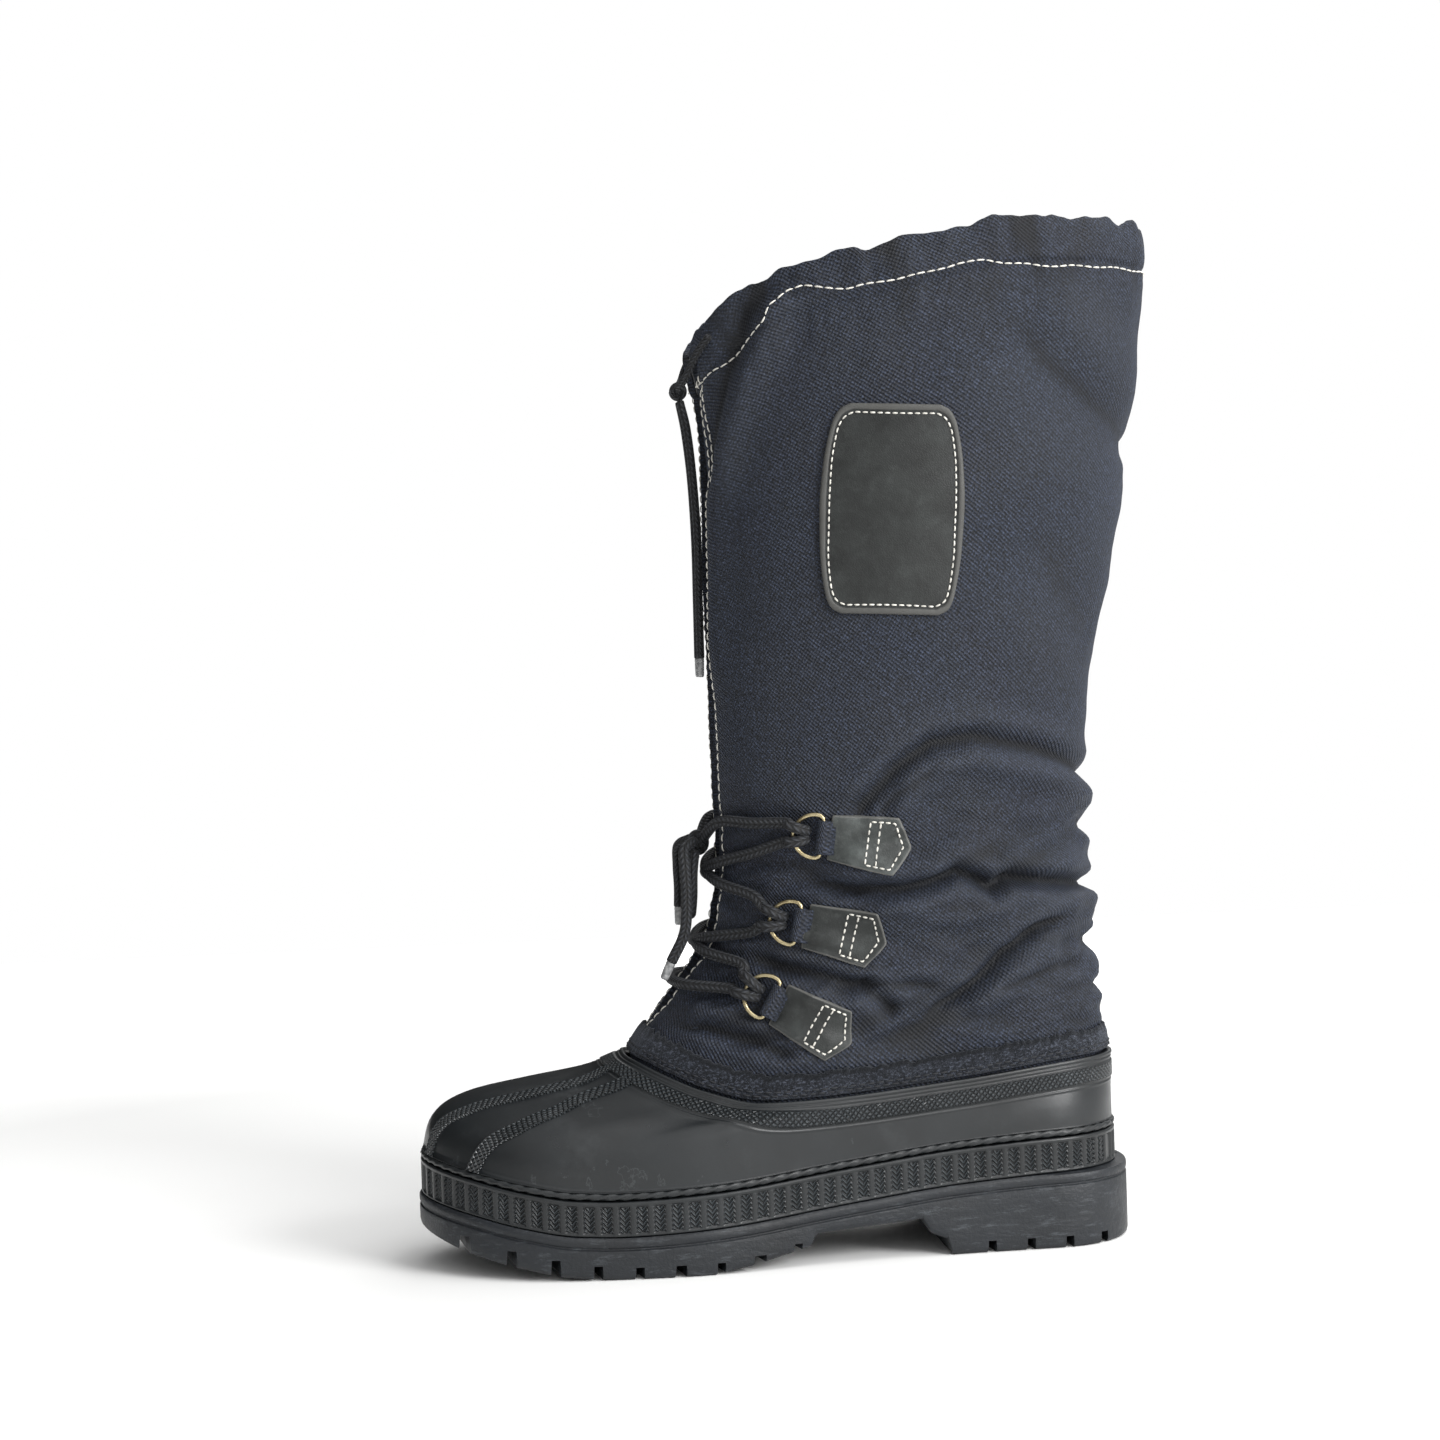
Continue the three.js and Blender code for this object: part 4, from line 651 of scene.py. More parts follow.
def cord_piece(name, points, diameter, sides=14, step=1.1, flat=1.0):
    """A tube with round ends along a smooth path, its lengthwise and crosswise millimetres as its map."""
    line = smooth_path(points, step)
    along, side, third = frames_along(line)
    lengths = run_of(line)
    radius = diameter / 2
    rows = len(line) + 5
    sizes = np.concatenate([[0.001, 0.6, 0.9], np.ones(len(line)), [0.9, 0.6, 0.001]])
    shift = np.concatenate([[-0.8, -0.6, -0.3], np.zeros(len(line)), [0.3, 0.6, 0.8]]) * radius * 0.6
    index = np.concatenate([[0, 0, 0], np.arange(len(line)), [len(line) - 1] * 3])

    def place(u, v):
        k = np.rint(v * rows).astype(int)
        i = index[k]
        angle = 2 * math.pi * u
        r = radius * sizes[k]
        middle = line[i] + along[i] * shift[k][:, None]
        ring = side[i] * (np.cos(angle) * r)[:, None] + third[i] * (np.sin(angle) * r * flat)[:, None]
        return middle + ring, lengths[i], u * math.pi * diameter

    piece = surface_piece(name, sides, rows, place, closed=True)
    outwards(piece)
    return piece, line, lengths[-1]


def outwards(piece):
    pick(piece)
    bpy.ops.object.mode_set(mode="EDIT")
    bpy.ops.mesh.select_all(action="SELECT")
    bpy.ops.mesh.normals_make_consistent(inside=False)
    bpy.ops.object.mode_set(mode="OBJECT")


def stitches(name, rows, length=2.9, gap=1.3, width=0.75, rise=0.3):
    """Rows of sewing thread: each stitch a small rounded bar that dips into the cloth at its ends."""
    points, faces = [], []
    for line, normals in rows:
        line, normals = np.asarray(line), np.asarray(normals)
        lengths = run_of(line)
        count = max(1, int(lengths[-1] / (length + gap)))
        pitch = lengths[-1] / count
        for k in range(count):
            at = (k + 0.5) * pitch + np.array([-0.5, -0.42, -0.2, 0.2, 0.42, 0.5]) * (pitch - gap)
            middle = np.stack([np.interp(at, lengths, line[:, c]) for c in range(3)], -1)
            up = np.stack([np.interp(at, lengths, normals[:, c]) for c in range(3)], -1)
            up /= np.linalg.norm(up, axis=1, keepdims=True)
            along = middle[-1] - middle[0]
            along /= np.linalg.norm(along) + 1e-9
            across = np.cross(up, along)
            lift = np.array([-0.45, 0.15, 1, 1, 0.15, -0.45]) * rise
            size = np.array([0.25, 0.75, 1, 1, 0.75, 0.25]) * width / 2
            start = len(points)
            for i in range(6):
                for j in range(6):
                    angle = math.pi * j / 3
                    points.append(middle[i] + up[i] * (lift[i] + math.sin(angle) * size[i] * 0.8)
                                  + across[i] * math.cos(angle) * size[i])
            for i in range(5):
                for j in range(6):
                    a, b = start + i * 6 + j, start + i * 6 + (j + 1) % 6
                    faces.append((a, b, b + 6, a + 6))
            faces.append(tuple(start + j for j in range(5, -1, -1)))
            faces.append(tuple(start + 30 + j for j in range(6)))
    mesh = bpy.data.meshes.new(name)
    mesh.from_pydata(to_row(np.array(points)).tolist(), [], faces)
    piece = bpy.data.objects.new(name, mesh)
    bpy.context.scene.collection.objects.link(piece)
    outwards(piece)
    smooth(piece)
    return piece


def surface_line(surface, t, v, out):
    """A line on a surface and the directions out of it."""
    t, v = same_shape(t, v)
    base = surface(t, v, np.full(np.shape(t), out))
    above = surface(t, v, np.full(np.shape(t), out + 1.0))
    return base, above - base


def settle(piece, material, slot, *nodes):
    """Gives a piece its finish and its place in the frame."""
    piece.data.materials.clear()
    piece.data.materials.append(material)
    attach(piece, "root")
    if nodes:
        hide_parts(*nodes)
    return piece


# Materials
def paint(code):
    """An sRGB hex value as linear colour."""
    parts = [int(code[k:k + 2], 16) / 255 for k in (1, 3, 5)]
    return [c / 12.92 if c <= 0.04045 else ((c + 0.055) / 1.055) ** 2.4 for c in parts] + [1.0]


def fill(tree, item, inputs):
    """Sets a node's own sockets, or links another node's output to them."""
    for key, value in inputs.items():
        if isinstance(value, bpy.types.NodeSocket):
            tree.links.new(value, item.inputs[key])
        else:
            item.inputs[key].default_value = value


def add(tree, kind, inputs=None, **settings):
    """A node with its settings; an input is a value or another node's output."""
    item = tree.nodes.new("ShaderNode" + kind)
    for key, value in settings.items():
        setattr(item, key, value)
    fill(tree, item, inputs or {})
    return item


def sum_of(tree, operation, a, b=0.0, c=0.0):
    return add(tree, "Math", {0: a, 1: b, 2: c}, operation=operation).outputs[0]


def new_material(name):
    material = bpy.data.materials.new(name)
    material.use_nodes = True
    tree = material.node_tree
    tree.nodes.clear()
    output = add(tree, "OutputMaterial")
    shader = add(tree, "BsdfPrincipled")
    tree.links.new(shader.outputs["BSDF"], output.inputs["Surface"])
    return material, tree, shader


def ramp(tree, factor, stops):
    item = add(tree, "ValToRGB", {"Fac": factor})
    band = item.color_ramp
    while len(band.elements) < len(stops):
        band.elements.new(0.5)
    for element, (at, colour) in zip(band.elements, stops):
        element.position = at
        element.color = paint(colour) if isinstance(colour, str) else (colour, colour, colour, 1)
    return item.outputs["Color"]


def blotches(tree, scale, detail=4.0, rough=0.55, stretch=(1, 1, 1), vector=None):
    place = vector or add(tree, "TexCoord").outputs["Object"]
    turned = add(tree, "Mapping", {"Vector": place, "Scale": stretch}).outputs[0]
    texture = add(tree, "TexNoise", {"Vector": turned, "Scale": scale, "Detail": detail, "Roughness": rough})
    return texture.outputs["Fac"]


def blend_colours(tree, factor, a, b, mode="MIX"):
    return add(tree, "Mix", {0: factor, 6: a, 7: b}, data_type="RGBA", blend_type=mode).outputs[2]


def tint(tree, a, b):
    return blend_colours(tree, 1.0, a, b, "MULTIPLY")


def map_axes(tree):
    """The piece's own map, in millimetres: along it and up it."""
    parts = add(tree, "SeparateXYZ", {0: add(tree, "TexCoord").outputs["UV"]})
    return parts.outputs[0], parts.outputs[1]


def herringbone(tree, x, y, column, pitch):
    """Columns of slanting ticks that lean the other way in each next column."""
    number = sum_of(tree, "FLOOR", sum_of(tree, "DIVIDE", x, column))
    odd = sum_of(tree, "SUBTRACT", sum_of(tree, "MULTIPLY", sum_of(tree, "FLOORED_MODULO", number, 2.0), 2.0), 1.0)
    lean = sum_of(tree, "MULTIPLY", odd, sum_of(tree, "DIVIDE", x, column))
    phase = sum_of(tree, "ADD", sum_of(tree, "DIVIDE", y, pitch), lean)
    return sum_of(tree, "SINE", sum_of(tree, "MULTIPLY", phase, 2 * math.pi))


def diamonds(tree, x, y, pitch):
    """Small pyramids in a slanting grid, from 0 in the grooves to 1 on the tips."""
    waves = []
    for sign in (1.0, -1.0):
        phase = sum_of(tree, "MULTIPLY_ADD", y, sign, x)
        waves.append(sum_of(tree, "ABSOLUTE", sum_of(tree, "SINE", sum_of(tree, "MULTIPLY", phase, math.pi / pitch))))
    return sum_of(tree, "MINIMUM", waves[0], waves[1])


def mask(tree, name):
    return add(tree, "Attribute", attribute_name=name).outputs["Fac"]


def bump(tree, shader, height, distance, strength=1.0, normal=None):
    item = add(tree, "Bump", {"Height": height, "Distance": distance / 1000, "Strength": strength})
    if normal:
        tree.links.new(normal, item.inputs["Normal"])
    fill(tree, shader, {"Normal": item.outputs["Normal"]})
    return item.outputs["Normal"]


def cloth_slit_turn(v, side):
    """The turn of the slit's edge on one side at each share of the height."""
    front = np.zeros(1)
    foot = raw_shaft(front, shaft_share(front, JOIN_HEIGHT + 4))[0, 2]
    v = np.asarray(v, float)
    z = mix(shaft_low(np.zeros_like(v)), shaft_high(np.zeros_like(v)), v)
    at = (z - foot) / (BOOT_HEIGHT - foot)
    half = np.interp(at, SLIT["at"], SLIT["half"]) * SLIT_HALF * np.clip((at + 0.008) / 0.008, 0, 1)
    low, high = np.zeros_like(v), np.full_like(v, 0.9)
    for _ in range(26):
        middle = (low + high) / 2
        turn = middle if side < 0 else 2 * math.pi - middle
        wide = np.abs(raw_shaft(turn, v)[..., 1])
        low, high = np.where(wide < half, middle, low), np.where(wide < half, high, middle)
    return low if side < 0 else 2 * math.pi - low


def tab_frame(tab, side):
    """Middle of a tab's front edge with the directions forward, across and outward."""
    x, z = tab["along"] * SOLE_LENGTH, tab["up"] * BOOT_HEIGHT
    turn = math.radians(tab["slope"])
    reach = 4.0
    origin = on_shaft(x, z, side, 0.0)
    forward = on_shaft(x - reach * math.cos(turn), z - reach * math.sin(turn), side, 0.0) - origin
    forward /= np.linalg.norm(forward)
    across = on_shaft(x - reach * math.sin(turn), z + reach * math.cos(turn), side, 0.0) - origin
    across -= forward * np.dot(across, forward)
    across /= np.linalg.norm(across)
    outward = np.cross(forward, across)
    if outward[1] * side < 0:
        outward = -outward
    return origin, forward, across, outward


def frame_point(frame_of_tab, forward, across, outward):
    origin, f, a, o = frame_of_tab
    return origin + f * forward + a * across + o * outward


def front_point(z, y, out):
    """A place ahead of the middle of the shaft's front, from metres to boot millimetres."""
    low, high = shaft_low(np.zeros(1))[0], shaft_high(np.zeros(1))[0]
    v = (z * 1000 - low) / (high - low)
    x = raw_shaft(np.zeros(1), np.array([v]))[0, 0]
    return np.array([x - out * 1000, y * 1000, z * 1000])


def strand_points(start_tab, start_side, end_tab):
    """The lace's way from a ring over the front to a ring on the other side."""
    goes_up = end_tab < start_tab or (end_tab == start_tab and start_tab == 0)
    comes_up = start_tab < end_tab or (end_tab == start_tab and start_tab == 0)
    ahead = BAR_AHEAD + RING_REACH + LACE_DIAMETER / 2 + GAP
    start_frame = tab_frame(TABS[start_tab], start_side)
    end_frame = tab_frame(TABS[end_tab], -start_side)
    start = frame_point(start_frame, ahead, 4 if goes_up else -4, BAR_OUT + 0.6)
    end = frame_point(end_frame, ahead, 4 if comes_up else -4, BAR_OUT + 0.6)
    turns = np.array([0.62, 0.3, 0, -0.3, -0.62]) * (1 if start_side < 0 else -1)
    z = mix(start[2], end[2], np.arange(1, 6) / 6)
    v = (z - shaft_low(turns)) / (shaft_high(turns) - shaft_low(turns))
    over = shaft(turns, v, np.full(5, LACE_CLEAR))
    return [start, *over, end], (start_frame, 4 if goes_up else -4), (end_frame, 4 if comes_up else -4)


def into_ring(frame_of_tab, across):
    """The lace's last stretch, over the ring's wire and down through it."""
    front = BAR_AHEAD + RING_REACH - RING_WIRE / 2
    return [
        frame_point(frame_of_tab, front - 5.2, across * 0.42, 1.6),
        frame_point(frame_of_tab, front - 4.2, across * 0.5, 4.2),
        frame_point(frame_of_tab, front - 1.6, across * 0.72, BAR_OUT + 3.1),
        frame_point(frame_of_tab, front + 1.4, across * 0.9, BAR_OUT + 2.9),
    ]


# Settings that a user would change
def length_setting(name, description, default, low, high):
    return FloatProperty(name=name, description=description, default=default, min=low, max=high, subtype="DISTANCE",
                         unit="LENGTH")


def colour_setting(name, description, code):
    return FloatVectorProperty(name=name, description=description, default=paint(code), size=4, min=0, max=1,
                               subtype="COLOR")


class BootSizes(PropertyGroup):
    lace_diameter: length_setting("Lace diameter", "Thickness of the lace", LACE_DIAMETER / 1000, 0.003, 0.006)
    drawcord_diameter: length_setting("Drawcord diameter", "Thickness of the cord in the collar",
                                      DRAWCORD_DIAMETER / 1000, 0.002, 0.004)
    ring_wire: length_setting("Ring wire", "Thickness of the rings' wire", 0.0018, 0.001, RING_WIRE / 1000)
    piping: length_setting("Piping", "Thickness of the twisted piping", 0.0030, 0.002, 0.0034)
    stitch: length_setting("Stitch length", "Length of the stitches on the shaft", 0.0034, 0.0015, 0.005)
    cloth_columns: IntProperty(name="Cloth columns", description="Columns of the shaft's cloth", default=340,
                               min=60, max=360)
    cloth_rows: IntProperty(name="Cloth rows", description="Rows of the shaft's cloth", default=260, min=60, max=280)


class BootColours(PropertyGroup):
    nylon: colour_setting("Nylon", "The shaft's cloth", "#1c212c")
    rubber: colour_setting("Rubber", "The lower's smooth rubber", "#181b1d")
    tread: colour_setting("Tread", "The outsole's rubber", "#12161b")
    leather: colour_setting("Leather", "The tabs and the patch", "#2b2e2d")
    felt: colour_setting("Felt", "The strip round the ankle", "#1a1c21")
    brass: colour_setting("Brass", "The rings", "#bdb08c")
    cord: colour_setting("Cord", "The lace and drawcord", "#0d0e10")
    thread: colour_setting("Thread", "The pale sewing thread", "#e4e1d8")


def sizes():
    return bpy.context.scene.boot_sizes


def colours():
    return bpy.context.scene.boot_colours


def shade(colour, factor):
    """A darker or lighter tone of a colour."""
    return [c * factor for c in list(colour)[:3]] + [1.0]


def nylon_cloth():
    """Tight nylon twill with a faint blue tone; painted shade in its creases, a painted highlight on its folds."""
    base = list(colours().nylon)
    material, tree, shader = new_material("nylon_twill")
    x, y = map_axes(tree)
    # Twill drawn at 1.2 mm, coarser than the real 0.4 mm, so that it shows
    slant = sum_of(tree, "MULTIPLY_ADD", y, 1.15, x)
    wale = sum_of(tree, "SINE", sum_of(tree, "MULTIPLY", slant, 2 * math.pi / 1.82))
    counter = sum_of(tree, "MULTIPLY_ADD", y, -0.55, x)
    cross = sum_of(tree, "SINE", sum_of(tree, "MULTIPLY", counter, 2 * math.pi / 1.45))
    weave = sum_of(tree, "MULTIPLY_ADD", cross, 0.45, wale)
    cloudy = blotches(tree, 22, 5)
    faded = blotches(tree, 75, 4, 0.6)
    speckle = ramp(tree, blotches(tree, 1150, 2, 0.7), ((0.36, 0.26), (0.50, 0.86), (0.64, 2.4)))
    tone = ramp(tree, cloudy, ((0.30, 0.82), (0.52, 1.0), (0.74, 1.18)))
    colour = tint(tree, base, tone)
    colour = tint(tree, colour, speckle)
    # Painted shade and highlight on the twill: lighter on its raised threads, darker between them
    grain = ramp(tree, sum_of(tree, "MULTIPLY_ADD", weave, 0.30, 0.5), ((0.05, 0.42), (0.5, 0.92), (0.95, 1.70)))
    colour = tint(tree, colour, grain)
    worn = ramp(tree, faded, ((0.62, 0.0), (0.85, 0.08)))
    colour = blend_colours(tree, worn, colour, paint("#3c424b"))
    # Painted shade: the crease mask darkens the cloth in its troughs
    colour = blend_colours(tree, mask(tree, "crease"), colour, paint("#08090c"))
    # Painted highlight: the ridge mask lightens the cloth on its raised folds
    colour = blend_colours(tree, mask(tree, "ridge"), colour, paint("#40454f"))
    fill(tree, shader, {"Base Color": colour, "Roughness": ramp(tree, cloudy, ((0.3, 0.62), (0.7, 0.78))),
                        "Sheen Weight": 0.14, "Sheen Roughness": 0.4, "Sheen Tint": paint("#8490a8"),
                        "Specular IOR Level": 0.4})
    fine = bump(tree, shader, weave, 0.16, 0.9)
    bump(tree, shader, blotches(tree, 260, 4, 0.6), 0.5, 0.7, fine)
    return material


def lining_cloth():
    """Dark brushed lining inside the shaft."""
    material, tree, shader = new_material("lining_cloth")
    tone = ramp(tree, blotches(tree, 60, 4), ((0.3, "#0d0f13"), (0.7, "#191c22")))
    fill(tree, shader, {"Base Color": tone, "Roughness": 0.9, "Sheen Weight": 0.3})
    bump(tree, shader, blotches(tree, 900, 3), 0.3, 0.8)
    return material


def knurled_rubber(name, pattern, mask_name=None):
    """Satin black rubber with a dull bloom, dust and a moulded relief where its mask is on."""
    base = list(colours().rubber)
    material, tree, shader = new_material(name)
    x, y = map_axes(tree)
    if pattern == "herringbone":
        # Ticks drawn at 2 mm, coarser than the real 1.4 mm, so that they show
        relief = sum_of(tree, "MULTIPLY_ADD", herringbone(tree, x, y, 1.77, 2.0), 0.5, 0.5)
    else:
        # Diamonds drawn at 2.4 mm, coarser than the real 1.5 mm, so that they show
        if mask_name:
            x, y = mask(tree, "along"), mask(tree, "down")
        relief = diamonds(tree, x, y, 2.4)
    if mask_name:
        relief = sum_of(tree, "MULTIPLY", relief, mask(tree, mask_name))
    bloom = blotches(tree, 30, 6, 0.6)
    colour = tint(tree, base, ramp(tree, bloom, ((0.3, 0.75), (0.7, 1.3))))
    dust = ramp(tree, blotches(tree, 45, 6, 0.7), ((0.55, 0.0), (0.78, 0.28)))
    colour = blend_colours(tree, dust, colour, paint("#3f4244"))
    scratches = ramp(tree, blotches(tree, 60, 5, 0.65, (0.8, 1.0, 0.6)), ((0.650, 0.0), (0.658, 0.22), (0.670, 0.0)))
    colour = blend_colours(tree, scratches, colour, paint("#5f6365"))
    # Painted shade and highlight: the relief's grooves are darkened and its tips lightened, so knurled areas read
    # lighter
    painted_relief_shade = ramp(tree, relief, ((0.0, 0.30), (0.35, 1.3), (0.8, 3.2)))
    if mask_name:
        painted_relief_shade = blend_colours(tree, mask(tree, mask_name), [1, 1, 1, 1], painted_relief_shade)
    colour = tint(tree, colour, painted_relief_shade)
    fill(tree, shader, {"Base Color": colour,
                        "Roughness": ramp(tree, blotches(tree, 90, 5), ((0.3, 0.27), (0.7, 0.42)))})
    fine = bump(tree, shader, relief, 0.8, 1.0)
    bump(tree, shader, blotches(tree, 600, 3), 0.05, 0.6, fine)
    return material


def tread_rubber():
    """Matt outsole rubber, greyer where it is scuffed."""
    base = list(colours().tread)
    material, tree, shader = new_material("tread_rubber")
    tone = ramp(tree, blotches(tree, 35, 6, 0.6), ((0.3, 0.75), (0.7, 1.4)))
    colour = tint(tree, base, tone)
    scuffs = ramp(tree, blotches(tree, 150, 6, 0.8, (0.5, 1, 2.6)), ((0.54, 0.0), (0.70, 0.5)))
    colour = blend_colours(tree, scuffs, colour, paint("#565b60"))
    fill(tree, shader, {"Base Color": colour,
                        "Roughness": ramp(tree, blotches(tree, 80, 5), ((0.3, 0.42), (0.7, 0.62)))})
    fine = bump(tree, shader, blotches(tree, 700, 4), 0.25, 0.9)
    bump(tree, shader, blotches(tree, 160, 4, 0.6, (0.5, 1, 2.0)), 0.5, 0.7, fine)
    return material


def piping_rubber():
    """Rubber of the piping, a little shinier than the wall."""
    base = list(colours().rubber)
    material, tree, shader = new_material("piping_rubber")
    tone = ramp(tree, blotches(tree, 70, 5), ((0.3, 0.8), (0.7, 1.3)))
    fill(tree, shader, {"Base Color": tint(tree, base, tone), "Roughness": 0.42})
    bump(tree, shader, blotches(tree, 800, 3), 0.05, 0.6)
    return material


def worn_leather(name="worn_leather", pale=0.0):
    """Oiled dark leather with a fine grain, rubbed pale in patches."""
    base = list(colours().leather)
    material, tree, shader = new_material(name)
    cells = add(tree, "TexVoronoi", {"Vector": add(tree, "TexCoord").outputs["Object"], "Scale": 950.0},
                feature="DISTANCE_TO_EDGE").outputs["Distance"]
    grain = ramp(tree, cells, ((0.0, 0.0), (0.25, 1.0)))
    cloudy = blotches(tree, 90, 5, 0.6)
    tone = ramp(tree, cloudy, ((0.32, 0.45), (0.55, 1.0), (0.72, 1.8)))
    colour = tint(tree, shade(base, 1 + pale), tone)
    rubbed = ramp(tree, blotches(tree, 240, 6, 0.8), ((0.50, 0.0), (0.72, 0.25 + pale * 0.35)))
    colour = blend_colours(tree, rubbed, colour, paint("#5d6160"))
    # Painted highlight: the rim mask makes the raised edge paler
    colour = blend_colours(tree, mask(tree, "rim"), colour, paint("#6a6966"))
    fill(tree, shader, {"Base Color": colour, "Roughness": ramp(tree, cloudy, ((0.3, 0.45), (0.7, 0.62))),
                        "Specular IOR Level": 0.4})
    fine = bump(tree, shader, grain, 0.06, 0.7)
    bump(tree, shader, blotches(tree, 220, 4), 0.3, 0.5, fine)
    return material


def fuzzy_felt():
    """Felt with loose fibres: speckled, soft and dark along its upper edge."""
    base = list(colours().felt)
    material, tree, shader = new_material("fuzzy_felt")
    # Fibres drawn at 1.4 mm, coarser than the real ones, so that they show
    fibres = blotches(tree, 720, 6, 0.8, (1, 1, 1.6))
    clumps = blotches(tree, 300, 5, 0.7)
    tone = ramp(tree, fibres, ((0.42, 0.10), (0.53, 0.8), (0.60, 6.0)))
    colour = tint(tree, base, tone)
    colour = blend_colours(tree, ramp(tree, clumps, ((0.50, 0.0), (0.68, 0.30))), colour, paint("#3a3f49"))
    colour = blend_colours(tree, mask(tree, "dark"), colour, paint("#07080a"))
    fill(tree, shader, {"Base Color": colour, "Roughness": 0.97, "Specular IOR Level": 0.15, "Sheen Weight": 0.5,
                        "Sheen Roughness": 0.6, "Sheen Tint": paint("#8d929c")})
    fine = bump(tree, shader, fibres, 0.7, 0.9)
    bump(tree, shader, clumps, 0.8, 0.8, fine)
    return material


def old_brass():
    """Pale brass with a brown tarnish in places."""
    material, tree, shader = new_material("old_brass")
    tarnish = ramp(tree, blotches(tree, 260, 5, 0.65), ((0.45, 0.0), (0.72, 0.75)))
    colour = blend_colours(tree, tarnish, list(colours().brass), paint("#6d5c3c"))
    fill(tree, shader, {"Base Color": colour, "Metallic": 1.0,
                        "Roughness": ramp(tree, blotches(tree, 400, 4), ((0.3, 0.22), (0.7, 0.42)))})
    bump(tree, shader, blotches(tree, 1200, 3), 0.04, 0.6)
    return material


def braided_cord(name, diameter):
    """Round braided cord: slanting plaits that cross over lengthwise ribs."""
    base = list(colours().cord)
    material, tree, shader = new_material(name)
    x, y = map_axes(tree)
    girth = math.pi * diameter * 1000
    # Plaits drawn at 2.4 mm in six ribs, coarser than the real ones, so that they show
    column = girth / 6
    plait = sum_of(tree, "MULTIPLY_ADD", herringbone(tree, y, x, column, 2.4), 0.5, 0.5)
    groove = sum_of(tree, "ABSOLUTE", sum_of(tree, "SINE", sum_of(tree, "MULTIPLY", y, math.pi / column)))
    plait = sum_of(tree, "MULTIPLY_ADD", plait, 0.55, 0.45)
    relief = sum_of(tree, "MULTIPLY", plait, sum_of(tree, "POWER", groove, 0.5))
    # Painted shade and highlight: the colour is darkened in the braid's grooves and lightened on its raised plaits
    colour = tint(tree, base, ramp(tree, relief, ((0.15, 0.10), (0.6, 1.4), (1.0, 9.0))))
    fill(tree, shader, {"Base Color": colour, "Roughness": 0.72, "Sheen Weight": 0.12,
                        "Sheen Tint": paint("#8b8f99")})
    bump(tree, shader, relief, 0.8, 1.0)
    return material


def cord_tip_plastic():
    """Clear plastic wrap on the cords' ends, gone dull."""
    material, tree, shader = new_material("cord_tip_plastic")
    tone = ramp(tree, blotches(tree, 500, 4), ((0.35, "#6f7072"), (0.65, "#9b9c9c")))
    fill(tree, shader, {"Base Color": tone, "Roughness": 0.4})
    bump(tree, shader, blotches(tree, 900, 3), 0.05, 0.6)
    return material


def sewing_thread(name, colour):
    """Twisted sewing thread, slightly soiled."""
    material, tree, shader = new_material(name)
    soil = ramp(tree, blotches(tree, 240, 4), ((0.3, 0.62), (0.7, 1.05)))
    fill(tree, shader, {"Base Color": tint(tree, colour, soil), "Roughness": 0.75})
    bump(tree, shader, blotches(tree, 3000, 2), 0.1, 0.6)
    return material


def foam_insole():
    """Grey insole board with a brushed face."""
    material, tree, shader = new_material("foam_insole")
    tone = ramp(tree, blotches(tree, 500, 5), ((0.3, "#191b1f"), (0.7, "#2a2d33")))
    fill(tree, shader, {"Base Color": tone, "Roughness": 0.95})
    bump(tree, shader, blotches(tree, 900, 3), 0.3, 0.8)
    return material


def finish_of(name, make, *values):
    """A material made once and used by every piece that needs it."""
    return bpy.data.materials.get(name) or make(*values)


def cord_materials():
    lace = finish_of("braided_lace", braided_cord, "braided_lace", sizes().lace_diameter)
    return lace, finish_of("braided_drawcord", braided_cord, "braided_drawcord", sizes().drawcord_diameter)


def pale_thread():
    return finish_of("pale_thread", sewing_thread, "pale_thread", list(colours().thread))


